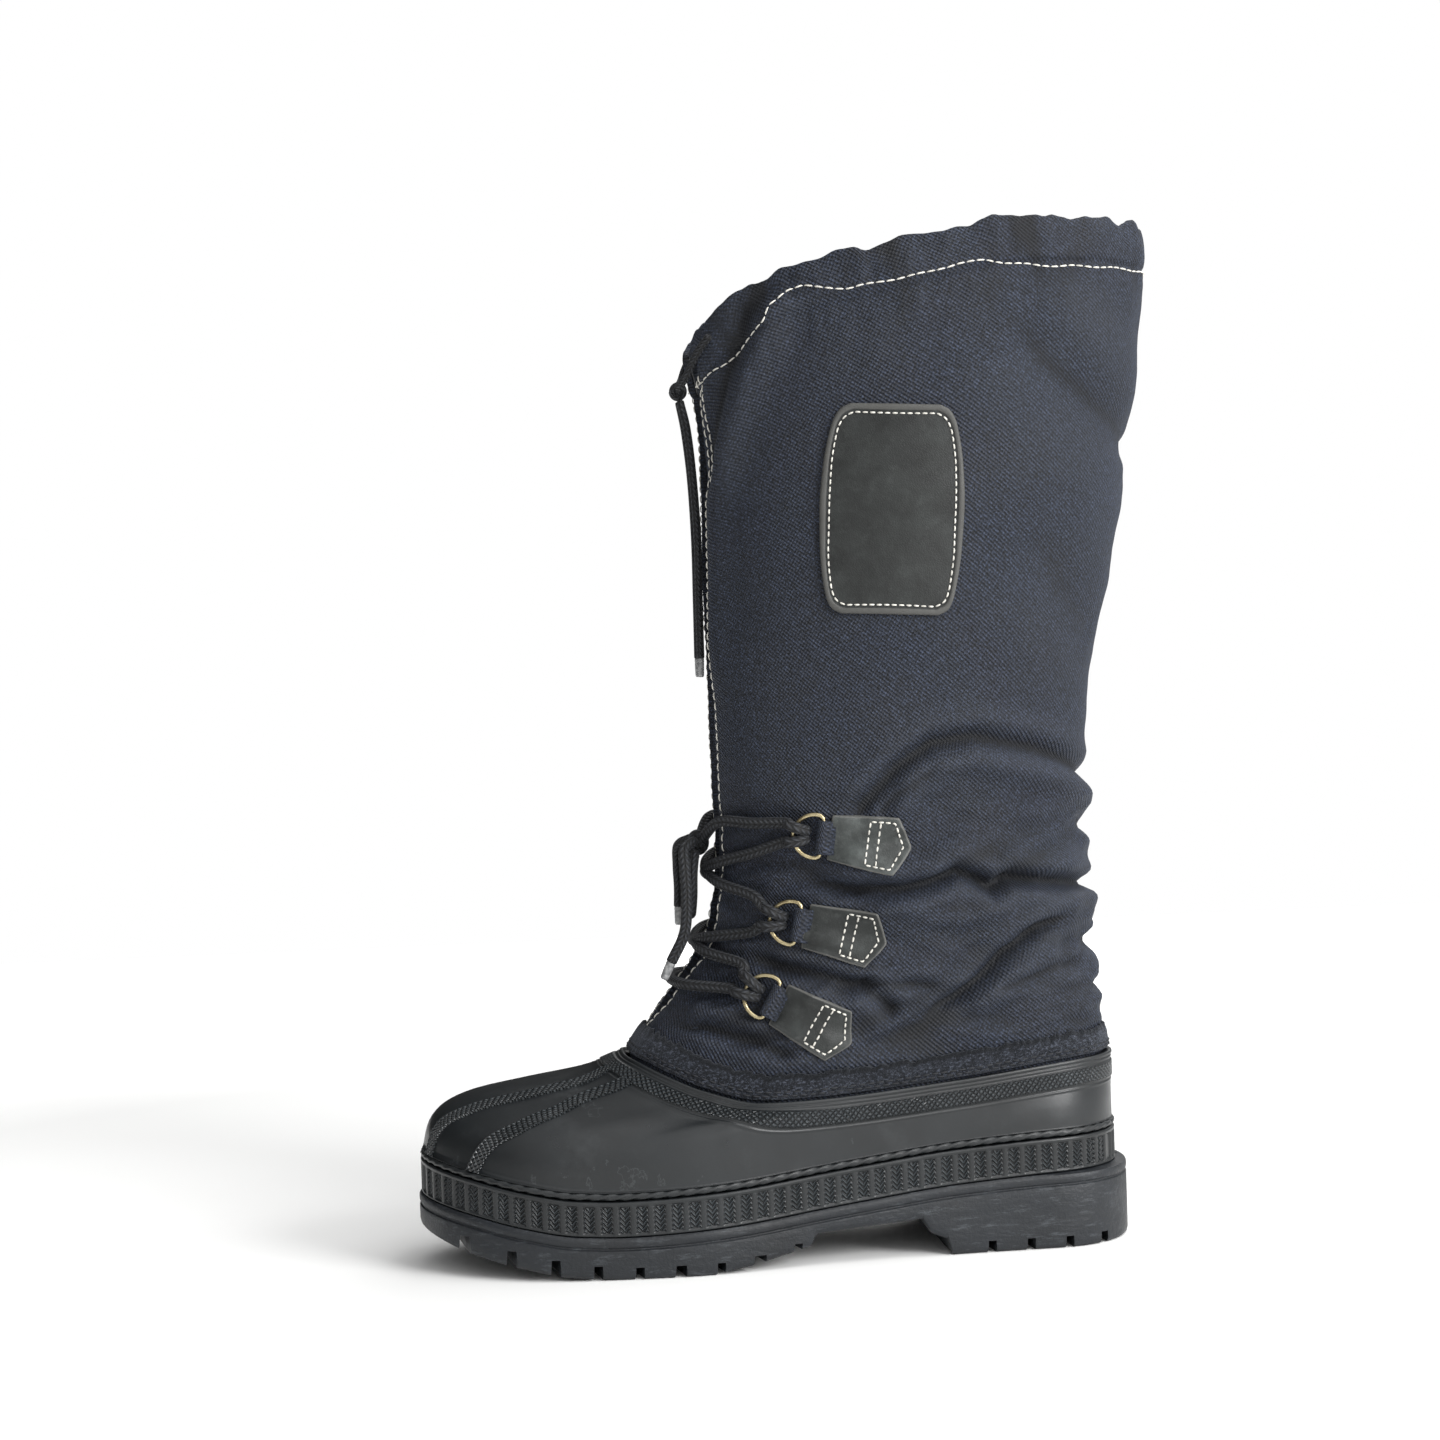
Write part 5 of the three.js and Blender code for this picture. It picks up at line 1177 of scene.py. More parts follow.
class BOOT_OT_stage(Operator):
    """Add the camera, the floor and the soft studio light"""
    bl_idname = "boot.stage"
    bl_label = "Camera, floor and light"

    def execute(self, context):
        azimuth, elevation, roll = map(math.radians, CAMERA_TURNS)
        back = Vector((math.sin(azimuth) * math.cos(elevation), -math.cos(azimuth) * math.cos(elevation),
                       math.sin(elevation)))
        right = Vector((math.cos(azimuth), math.sin(azimuth), 0))
        up = back.cross(right)
        right, up = (right * math.cos(roll) - up * math.sin(roll), up * math.cos(roll) + right * math.sin(roll))
        aim = Vector(to_row(CAMERA_AIM))
        place = aim + back * CAMERA_DISTANCE
        bpy.ops.object.camera_add(location=place)
        camera = context.object
        camera.name = "photo_camera"
        camera.matrix_world = Matrix.Translation(place) @ Matrix((right, up, back)).transposed().to_4x4()
        camera.data.sensor_width = 36
        camera.data.lens = CAMERA_LENS
        camera.data.clip_start = 0.05
        context.scene.camera = camera

        clear_selection()
        bpy.ops.mesh.primitive_plane_add(size=2.6, location=(0, 0, 0))
        floor = context.object
        floor.name = "floor"
        material, tree, shader = new_material("pale_floor")
        tone = ramp(tree, blotches(tree, 3, 2), ((0.3, "#f4f4f3"), (0.7, "#f8f8f7")))
        fill(tree, shader, {"Base Color": tone, "Roughness": 0.85})
        # The paper glows a little away from the boot, so that its far edge doesn't show
        place = add(tree, "TexCoord").outputs["Object"]
        away = add(tree, "VectorMath", {0: place}, operation="LENGTH").outputs["Value"]
        glow = ramp(tree, sum_of(tree, "MULTIPLY", away, 0.5), ((0.28, 0.0), (0.50, 0.45)))
        fill(tree, shader, {"Emission Strength": glow})
        floor.data.materials.append(material)

        world = bpy.data.worlds.new("pale_room")
        world.use_nodes = True
        tree = world.node_tree
        room = tree.nodes["Background"]
        toward = add(tree, "VectorMath", {0: add(tree, "TexCoord").outputs["Generated"], 1: (0.52, -0.64, 0.56)},
                     operation="DOT_PRODUCT").outputs["Value"]
        level = sum_of(tree, "MULTIPLY_ADD", toward, 0.5, 0.5)
        tree.links.new(ramp(tree, level, ((0.30, 0.03), (0.55, 0.14), (0.78, 0.55), (1.0, 1.0))), room.inputs["Color"])
        room.inputs["Strength"].default_value = 1.5
        wall = add(tree, "Background", {"Color": paint("#ffffff")})
        seen = add(tree, "MixShader", {0: add(tree, "LightPath").outputs["Is Camera Ray"],
                                       1: room.outputs[0], 2: wall.outputs[0]})
        tree.links.new(seen.outputs[0], tree.nodes["World Output"].inputs["Surface"])
        context.scene.world = world
        context.scene.view_settings.view_transform = "Standard"

        target = Vector((0, 0, 0.2))
        for name, place, size, power in (
            ("key", (1.75, -1.85, 1.25), 1.1, 60),
            ("top", (1.0, -0.3, 2.4), 1.4, 22),
            ("back", (0.9, 1.9, 1.5), 1.8, 14),
        ):
            bpy.ops.object.light_add(type="AREA", location=place)
            lamp = context.object
            lamp.name = name
            lamp.data.size = size
            lamp.data.energy = power
            lamp.rotation_euler = (target - lamp.location).to_track_quat("-Z", "Y").to_euler()
        return {"FINISHED"}


def closed_rings(name, turns, rings, uv_rows, masks=None, wrap=True):
    """A closed solid skin from rings round the boot; the last ring joins the first when wrapped."""
    columns, rows = len(turns) - 1, len(rings) - (0 if wrap else 1)

    def place(u, v):
        c = np.rint(u * columns).astype(int)
        r = np.rint(v * rows).astype(int)
        grid = np.stack([*rings, rings[0]] if wrap else rings)
        grid[:, -1] = grid[:, 0]
        lengths = run_of(grid[len(rings) // 3])
        heights = np.array([*uv_rows, uv_rows[-1]] if wrap else uv_rows)
        return grid[r, c], lengths[c], heights[r]

    by_name = {key: (lambda u, v, table=table: table[np.rint(v * rows).astype(int) % len(rings),
                                                     np.rint(u * columns).astype(int)])
               for key, table in (masks or {}).items()}
    piece = surface_piece(name, columns, rows, place, closed=True, masks=by_name)
    outwards(piece)
    return piece


def outline_rings(t, rows):
    """Rings round the outline from (inset, height) rows of arrays or numbers."""
    rings = []
    for inset, height in rows:
        plan = edge(t, np.broadcast_to(np.asarray(inset, float), t.shape))
        z = height(plan[:, 0]) if callable(height) else np.broadcast_to(np.asarray(height, float), t.shape)
        rings.append(np.column_stack([plan, z]))
    return rings


def even_turns(table_turns, table_arc, count):
    return np.interp(np.linspace(0, table_arc[-1], count + 1), table_arc, table_turns)


def mirrored_turns(count):
    """Turns spaced evenly along one side of the sole, and the same mirrored for the other side."""
    half = np.interp(np.linspace(0, FOXING_ARC[1440], count + 1), FOXING_ARC[:1441], FOXING_TURNS[:1441])
    half[-1] = math.pi
    return np.concatenate([half, (2 * math.pi - half[:-1])[::-1]])


class BOOT_OT_outsole(Operator):
    """Add the outsole with its arch, welt and tread grooves"""
    bl_idname = "boot.outsole"
    bl_label = "Outsole"

    def execute(self, context):
        t = mirrored_turns(280)
        # Columns land on the corners of the arch
        for at in ARCH["at"]:
            nearest = np.argmin(np.abs(t[:281] - math.acos(1 - 2 * at)))
            t[nearest] = math.acos(1 - 2 * at)
            t[-1 - nearest] = 2 * math.pi - t[nearest]
        spine_x = SOLE_LENGTH * share(t)
        spine_x = 2.2 + (SOLE_LENGTH - 4.4) * spine_x / SOLE_LENGTH

        def under(extra):
            return lambda x: underside(np.clip(x, 0, SOLE_LENGTH)) + extra

        def welt(extra):
            return lambda x: foxing_line(x) - WELT_HEIGHT + extra

        inner = np.maximum(1.0, foxing_inset(t) - 1)
        rows = [
            (2.2, under(0)), (1.1, under(0.35)), (0.35, under(1.1)), (0.0, under(2.4)),
            (0.0, lambda x: mix(under(2.4)(x), welt(-0.9)(x), 0.35)),
            (0.0, lambda x: mix(under(2.4)(x), welt(-0.9)(x), 0.7)),
            (0.0, welt(-1.3)), (0.12, welt(-0.85)), (0.75, welt(-0.4)), (0.8, welt(0.1)), (0.35, welt(0.5)),
            (0.05, welt(1.0)), (-0.05, welt(2.0)), (0.0, welt(3.1)), (0.35, welt(3.9)), (inner, welt(WELT_HEIGHT)),
        ]
        rings = outline_rings(t, rows)
        middle_low = np.column_stack([spine_x, np.zeros_like(t), underside(spine_x)])
        middle_high = np.column_stack([spine_x, np.zeros_like(t), foxing_line(spine_x)])
        half_low = mix(middle_low, rings[0], 0.5)
        half_low[:, 2] = underside(np.clip(half_low[:, 0], 0, SOLE_LENGTH))
        half_high = mix(middle_high, rings[-1], 0.5)
        half_high[:, 2] = foxing_line(half_high[:, 0])
        rings = [middle_low, half_low, *rings, half_high, middle_high]
        heights = np.linspace(0, 26, len(rings))
        piece = closed_rings("outsole_rubber", t, rings, heights, wrap=False)

        # Cutters of the grooves: tapered bars in two halves that meet in a shallow chevron
        cutters = []

        def cutter(width, length, height, matrix):
            clear_selection()
            bpy.ops.mesh.primitive_cube_add(size=1)
            bar = context.object
            bar.data.transform(Matrix.Diagonal((width, length, height, 1)))
            for vertex in bar.data.vertices:
                if vertex.co.z > 0:
                    vertex.co.x *= 0.72
                else:
                    vertex.co.x *= 1.16
            bar.data.transform(matrix)
            bar.data.transform(Matrix.Scale(0.001, 4) @ Matrix.Translation(Vector(SHIFT)))
            cutters.append(bar)

        def across(x, angle, width):
            ceiling = float(underside(np.array([x]))[0]) + LUG_HEIGHT
            for side in (-1, 1):
                turn = Matrix.Rotation(-side * angle, 4, "Z")
                place = Matrix.Translation((x, 0, ceiling - 11))
                out = Matrix.Translation((0, side * 36.0, 0))
                cutter(width, 76.0, 22.0, place @ turn @ out)

        x = LUG_PITCH * 0.75
        count = 0
        while x < ARCH["at"][3] * SOLE_LENGTH - GROOVE_WIDTH:
            across(x, 0.16, GROOVE_WIDTH + {5: 1.2, 7: 2.2}.get(count, 0.0))
            x += LUG_PITCH
            count += 1
        x = SOLE_LENGTH * 0.768
        while x < SOLE_LENGTH * 0.96:
            across(x, 0.1, GROOVE_WIDTH)
            x += LUG_PITCH
        for start, end, y in ((0.06, 0.5, -0.16), (0.06, 0.5, 0.16), (0.76, 0.94, 0.0)):
            places = np.linspace(start, end, 9) * SOLE_LENGTH
            for a, b in zip(places[:-1], places[1:]):
                ceiling = float(underside(np.array([(a + b) / 2]))[0]) + LUG_HEIGHT * 0.94
                turn = Matrix.Rotation(math.pi / 2, 4, "Z")
                cutter(GROOVE_WIDTH, b - a + 0.6, 22.0,
                       Matrix.Translation(((a + b) / 2, y * BALL_WIDTH, ceiling - 11)) @ turn)
        pick(piece)
        for bar in cutters:
            cut = piece.modifiers.new("groove", "BOOLEAN")
            cut.operation = "DIFFERENCE"
            cut.solver = "MANIFOLD"
            cut.object = bar
            bpy.ops.object.modifier_apply(modifier=cut.name)
            bpy.data.objects.remove(bar, do_unlink=True)
        smooth(piece, 34)
        settle(piece, finish_of("tread_rubber", tread_rubber), "tread", "outsole")
        return {"FINISHED"}


class BOOT_OT_foxing(Operator):
    """Add the foxing band with its ribs and knurled panels, and the twisted piping above it"""
    bl_idname = "boot.foxing"
    bl_label = "Foxing and piping"

    def execute(self, context):
        columns = 1680
        s = np.linspace(0, FOXING_ARC[-1], columns + 1)
        t = np.interp(s, FOXING_ARC, FOXING_TURNS)
        total, heel = FOXING_ARC[-1], FOXING_ARC[1440]
        ribs = [(k * FINE_RIB_PITCH, FINE_RIB_WIDTH) for k in range(-3, 4)]
        ribs += [(heel + k * RIB_PITCH * 0.7, FINE_RIB_WIDTH) for k in range(-4, 5)]
        for start, end in ((TOE_PANEL / 2 + RIB_PITCH * 0.6, heel - HEEL_PANEL / 2 - RIB_PITCH * 0.5),
                           (heel + HEEL_PANEL / 2 + RIB_PITCH * 0.5, total - TOE_PANEL / 2 - RIB_PITCH * 0.6)):
            count = round((end - start) / RIB_PITCH)
            ribs += [(mix(start, end, k / count), RIB_WIDTH) for k in range(count + 1)]
        ribs = sorted((place % total, width) for place, width in ribs)
        centres = np.array([row[0] for row in ribs])
        widths = np.array([row[1] for row in ribs])
        distance = np.abs(s[:, None] - centres[None, :])
        distance = np.minimum(distance, total - distance)
        nearest = distance.argmin(1)
        d, w = distance.min(1), widths[nearest]
        rib = ease((w / 2 + 0.3 - d) / 0.55) * (1 - 0.16 * np.clip(d / (w / 2), 0, 1) ** 2)
        plain = np.where(np.abs(s - heel) < HEEL_PANEL / 2 + 1.5, 0.0, 1.0)
        near_toe = np.minimum(s, total - s) < TOE_PANEL / 2 + 0.5
        plain = np.where(near_toe, 0.0, plain)
        panel_top = FOXING_HEIGHT - RIM_HIGH
        depth_rows = [(0.0, FOXING_WALL, 0), (0.0, 0.7, 0), (0.12, 0.2, 0), (0.45, 0.0, 0), (0.9, 0.0, 0),
                      (1.2, 0.12, 0.25), (1.5, 0.0, 0.8), (1.8, 0.0, 1)]
        depth_rows += [(h, 0.0, 1) for h in np.linspace(2.8, panel_top - 1.1, 8)]
        depth_rows += [(panel_top - 0.5, 0.0, 1), (panel_top - 0.2, 0.0, 0.8), (panel_top + 0.1, 0.12, 0.25),
                       (panel_top + 0.4, 0.0, 0), (panel_top + 1.2, -0.05, 0), (FOXING_HEIGHT - 0.75, 0.1, 0),
                       (FOXING_HEIGHT - 0.4, 0.5, 0), (FOXING_HEIGHT - 0.3, 1.0, 0),
                       (FOXING_HEIGHT - 0.3, FOXING_WALL, 0)]
        base = foxing_inset(t)
        rings, masks = [], []
        for height, inset, sunk in depth_rows:
            recess = PANEL_DEPTH * sunk * (1 - rib)
            plan = edge(t, base + inset + recess)
            rings.append(np.column_stack([plan, foxing_line(plan[:, 0]) + GAP + height]))
            masks.append(sunk * (1 - np.clip(rib * 1.6, 0, 1)) * plain * (1 if sunk == 1 else 0))
        piece = closed_rings("foxing_band", t, rings, [row[0] for row in depth_rows],
                             masks={"knurl": np.array(masks)})
        # The knurl's own map: six ticks across each panel
        mesh = piece.data
        along = np.interp(s, centres, np.arange(len(centres)) * 7.08)
        corners = np.empty(len(mesh.loops) * 2)
        mesh.uv_layers.active.data.foreach_get("uv", corners)
        corners = corners.reshape(-1, 2)
        lengths = run_of(rings[len(rings) // 3])
        corners[:, 0] = np.interp(corners[:, 0], lengths, along)
        mesh.uv_layers.active.data.foreach_set("uv", corners.ravel())
        settle(piece, finish_of("foxing_rubber", knurled_rubber, "foxing_rubber", "herringbone", "knurl"), "rubber",
               "foxing")

        radius = sizes().piping * 500
        middle = edge(t, foxing_inset(t) + radius - 0.15)
        height = foxing_line(middle[:, 0]) + FOXING_HEIGHT + GAP + PIPING_HEIGHT / 2
        ahead = np.gradient(middle, axis=0)
        ahead /= np.linalg.norm(ahead, axis=1, keepdims=True)
        outward = np.column_stack([ahead[:, 1], -ahead[:, 0], np.zeros(len(t))])
        sides = 14
        rings = []
        twists = round(total / ROPE_PITCH)
        for k in range(sides):
            angle = 2 * math.pi * k / sides
            strand = np.cos(3 * (angle - 2 * math.pi * twists * s / total / 3))
            r = radius * (0.90 + 0.12 * strand)
            rings.append(np.column_stack([middle, height]) + outward * (r * math.cos(angle))[:, None]
                         + np.array([0, 0, 1]) * (r * math.sin(angle))[:, None])
        rope = closed_rings("twisted_piping", t, rings, np.linspace(0, radius * 6, sides))
        settle(rope, finish_of("piping_rubber", piping_rubber), "rubber")
        return {"FINISHED"}


def shell_depths(t, depths):
    """Shares of the shell's wall at distances square to its top edge, and their places along that edge."""
    steps = np.linspace(1, 0, 61)
    grid = np.stack([raw_shell(t, np.full_like(t, v)) for v in steps])
    turns = np.linspace(0, 2 * math.pi, 721)
    rim = raw_shell(turns, np.ones_like(turns))
    ahead = np.gradient(rim, axis=0)
    ahead /= np.linalg.norm(ahead, axis=1, keepdims=True)
    arc = run_of(rim)
    arc = np.minimum(arc, arc[-1] - arc)
    shares, places = np.empty((len(depths), len(t))), np.empty((len(depths), len(t)))
    for c in range(len(t)):
        gap = grid[:, c, None] - rim[None]
        nearest = (gap**2).sum(-1).argmin(1)
        short = gap[np.arange(len(steps)), nearest]
        slid = (short * ahead[nearest]).sum(-1)
        short = short - ahead[nearest] * slid[:, None]
        reach = np.maximum.accumulate(np.linalg.norm(short, axis=1) + np.arange(len(steps)) * 1e-6)
        shares[:, c] = np.interp(depths, reach, steps)
        places[:, c] = np.interp(depths, reach, arc[nearest])
    return shares, places


class BOOT_OT_shell(Operator):
    """Add the rubber shell of the foot with its knurled band and the two strips over the toe"""
    bl_idname = "boot.shell"
    bl_label = "Rubber shell"

    def execute(self, context):
        t = even_turns(SHELL_TURNS, SHELL_ARC, 760)
        band_low = BAND_BELOW_TOP + BAND_WIDTH
        rim = [(0.0, -0.7), (0.0, 0.15), (0.25, 0.6), (0.8, 0.72), (1.3, 0.66), (1.65, 0.25), (1.95, 0.02),
               (2.2, 0.25), (2.55, 0.42), (2.9, 0.25), (3.2, 0.0), (3.8, 0.0), (4.05, 0.3), (4.3, 0.6), (4.8, 0.68)]
        knurled = [(d, 0.68) for d in np.linspace(5.6, band_low - 0.6, 6)]
        foot = [(band_low - 0.2, 0.62), (band_low + 0.05, 0.25), (band_low + 0.35, 0.0), (band_low + 0.9, 0.0),
                (band_low + 1.2, 0.22), (band_low + 1.6, 0.22), (band_low + 1.9, 0.0)]
        listed = rim + knurled + foot
        depths = [row[0] for row in listed]
        shares, places = shell_depths(t, depths)
        rings, heights, knurl = [], [], []
        for k, (depth, out) in enumerate(listed):
            rings.append(shell(t, shares[k], np.full_like(t, out)))
            heights.append(depth)
            knurl.append(np.full(len(t), 1.0 if 0.6 < out < 0.7 and 4.5 < depth < band_low - 0.3 else 0.0))
        last = shares[-1]
        for k in range(1, 27):
            rings.append(shell(t, last * (1 - k / 26), np.zeros_like(t)))
            heights.append(depths[-1] + k * 2.2)
            knurl.append(np.zeros(len(t)))
        over = FOXING_HEIGHT + GAP
        tucked = foxing_inset(t) + FOXING_WALL + GAP
        rings += outline_rings(t, [
            (foxing_inset(t) + 0.75, lambda x: foxing_line(x) + over + PIPING_HEIGHT + 0.25),
            (foxing_inset(t) + 0.85, lambda x: foxing_line(x) + over + PIPING_HEIGHT - 0.15),
            (foxing_inset(t) + 2.2, lambda x: foxing_line(x) + over + PIPING_HEIGHT - 0.4),
            (foxing_inset(t) + 2.2, lambda x: foxing_line(x) + over + 0.1),
            (tucked, lambda x: foxing_line(x) + over),
            (tucked, lambda x: foxing_line(x) + GAP),
            (tucked + SHELL_WALL, lambda x: foxing_line(x) + GAP),
            (tucked + SHELL_WALL, lambda x: foxing_line(x) + over),
        ])
        rings += [shell(t, np.full_like(t, v), np.full_like(t, -SHELL_WALL)) for v in (0, 0.2, 0.4, 0.6, 0.8, 1.0)]
        extra = len(rings) - len(heights)
        heights += list(heights[-1] + np.arange(1, extra + 1) * 2.0)
        knurl += [np.zeros(len(t))] * extra
        blank = np.zeros((len(rings) - len(listed), len(t)))
        down = np.repeat(np.array(depths)[:, None], len(t), axis=1)
        piece = closed_rings("rubber_shell", t, rings, heights, masks={
            "knurl": np.array(knurl), "along": np.vstack([places, blank]), "down": np.vstack([down, blank])})
        settle(piece, finish_of("shell_rubber", knurled_rubber, "shell_rubber", "diamond", "knurl"), "rubber", "shell")

        for word in ("lateral", "medial"):
            lifts = [(-1.0, -0.4), (-0.98, 0.5), (-0.9, 1.0), (-0.8, 1.1), (-0.74, 0.8), (-0.4, 0.84), (0.0, 0.84),
                     (0.4, 0.84), (0.74, 0.8), (0.8, 1.1), (0.9, 1.0), (0.98, 0.5), (1.0, -0.4)]
            start = follow(TOE_STRIPS, word, np.array([0.9]))
            lowest = shell_depths(start, [band_low - 1])[0][0, 0]
            line_v = np.linspace(0, lowest, 200)
            line = raw_shell(follow(TOE_STRIPS, word, line_v), line_v)
            run = run_of(line)

            def place(u, v):
                k = np.rint(u * (len(lifts) - 1)).astype(int)
                across, lift = np.array(lifts)[k].T
                at = mix(0.0, lowest, v)
                turn = follow(TOE_STRIPS, word, at)
                beside = (raw_shell(turn + 0.01, at) - raw_shell(turn - 0.01, at)) / 0.02
                speed = np.linalg.norm(beside, axis=-1)
                higher, lower = np.minimum(at + 0.01, 1), np.maximum(at - 0.01, 0)
                ahead = raw_shell(follow(TOE_STRIPS, word, higher), higher)
                ahead = ahead - raw_shell(follow(TOE_STRIPS, word, lower), lower)
                ahead /= np.linalg.norm(ahead, axis=-1, keepdims=True)
                square = np.linalg.norm(np.cross(beside / speed[:, None], ahead), axis=-1)
                turn = turn + across * STRIP_WIDTH / 2 / (speed * np.maximum(square, 0.3))
                return shell(turn, at, lift), across * STRIP_WIDTH / 2, v * run[-1]

            strip = surface_piece("toe_strip_" + word, len(lifts) - 1, 70, place)
            face_outward(strip)
            settle(strip, finish_of("strip_rubber", knurled_rubber, "strip_rubber", "diamond"), "rubber")
        return {"FINISHED"}


def face_outward(piece):
    """Turns an open sheet's faces away from the boot's middle line."""
    mesh = piece.data
    mesh.update()
    normals = np.empty(len(mesh.polygons) * 3)
    centres = np.empty(len(mesh.polygons) * 3)
    mesh.polygons.foreach_get("normal", normals)
    mesh.polygons.foreach_get("center", centres)
    normals, centres = normals.reshape(-1, 3), centres.reshape(-1, 3)
    centres[:, 2] = 0
    if (normals * centres).sum() < 0:
        mesh.flip_normals()


class BOOT_OT_join_strip(Operator):
    """Add the felt strip that covers the join of shell and shaft"""
    bl_idname = "boot.join_strip"
    bl_label = "Felt strip"

    def execute(self, context):
        t = even_turns(SHAFT_TURNS, SHAFT_ARC, 900)
        a = girth_share(t) * HALF_GIRTH
        ragged = soft_noise(a / 2.6, np.zeros_like(a), 4.4) * 2.4 + soft_noise(a / 0.9, np.zeros_like(a), 9.4) * 1.8
        lumps = soft_noise(a / 12, np.zeros_like(a), 1.4) * 0.5
        rows = [(0.9, 0.3, 0), (0.9, 1.5, 0), (1.3, 2.1, 0), (2.2, 2.35, 0), (3.6, 2.4, 0), (5.2, 2.35, 0),
                (6.8, 2.25, 0), (7.9, 2.1, 0), (8.8, 1.9, 0.6), (9.5, 1.75, 1), (10.6, 1.5, 1), (11.1, 0.9, 1),
                (11.0, 0.3, 1)]
        rings, dark = [], []
        for height, out, edge_share in rows:
            rise = height + (ragged * 0.5 if edge_share else 0)
            v = shaft_share(t, rise)
            fuzz = soft_noise(a / 1.6, np.full_like(a, height / 1.6), 6.6) * 0.22 if out > 1 else 0
            rings.append(shaft(t, v, out + (lumps + fuzz if out > 1 else 0)))
            dark.append(np.full(len(t), 1.0 if edge_share == 1 else 0.0))
        piece = closed_rings("felt_strip", t, rings, [row[0] for row in rows], masks={"dark": np.array(dark)})
        settle(piece, finish_of("fuzzy_felt", fuzzy_felt), "felt", "join_strip")
        rows = []
        for height in (2.5, 4.1):
            line = even_turns(SHAFT_TURNS, SHAFT_ARC, 600)
            v = shaft_share(line, height)
            rows.append(surface_line(shaft, line, v, 2.45))
        threads = stitches("felt_strip_thread", rows, length=3.0, gap=0.9, width=0.7)
        settle(threads, finish_of("dark_thread", sewing_thread, "dark_thread", paint("#26282d")), "felt")
        return {"FINISHED"}


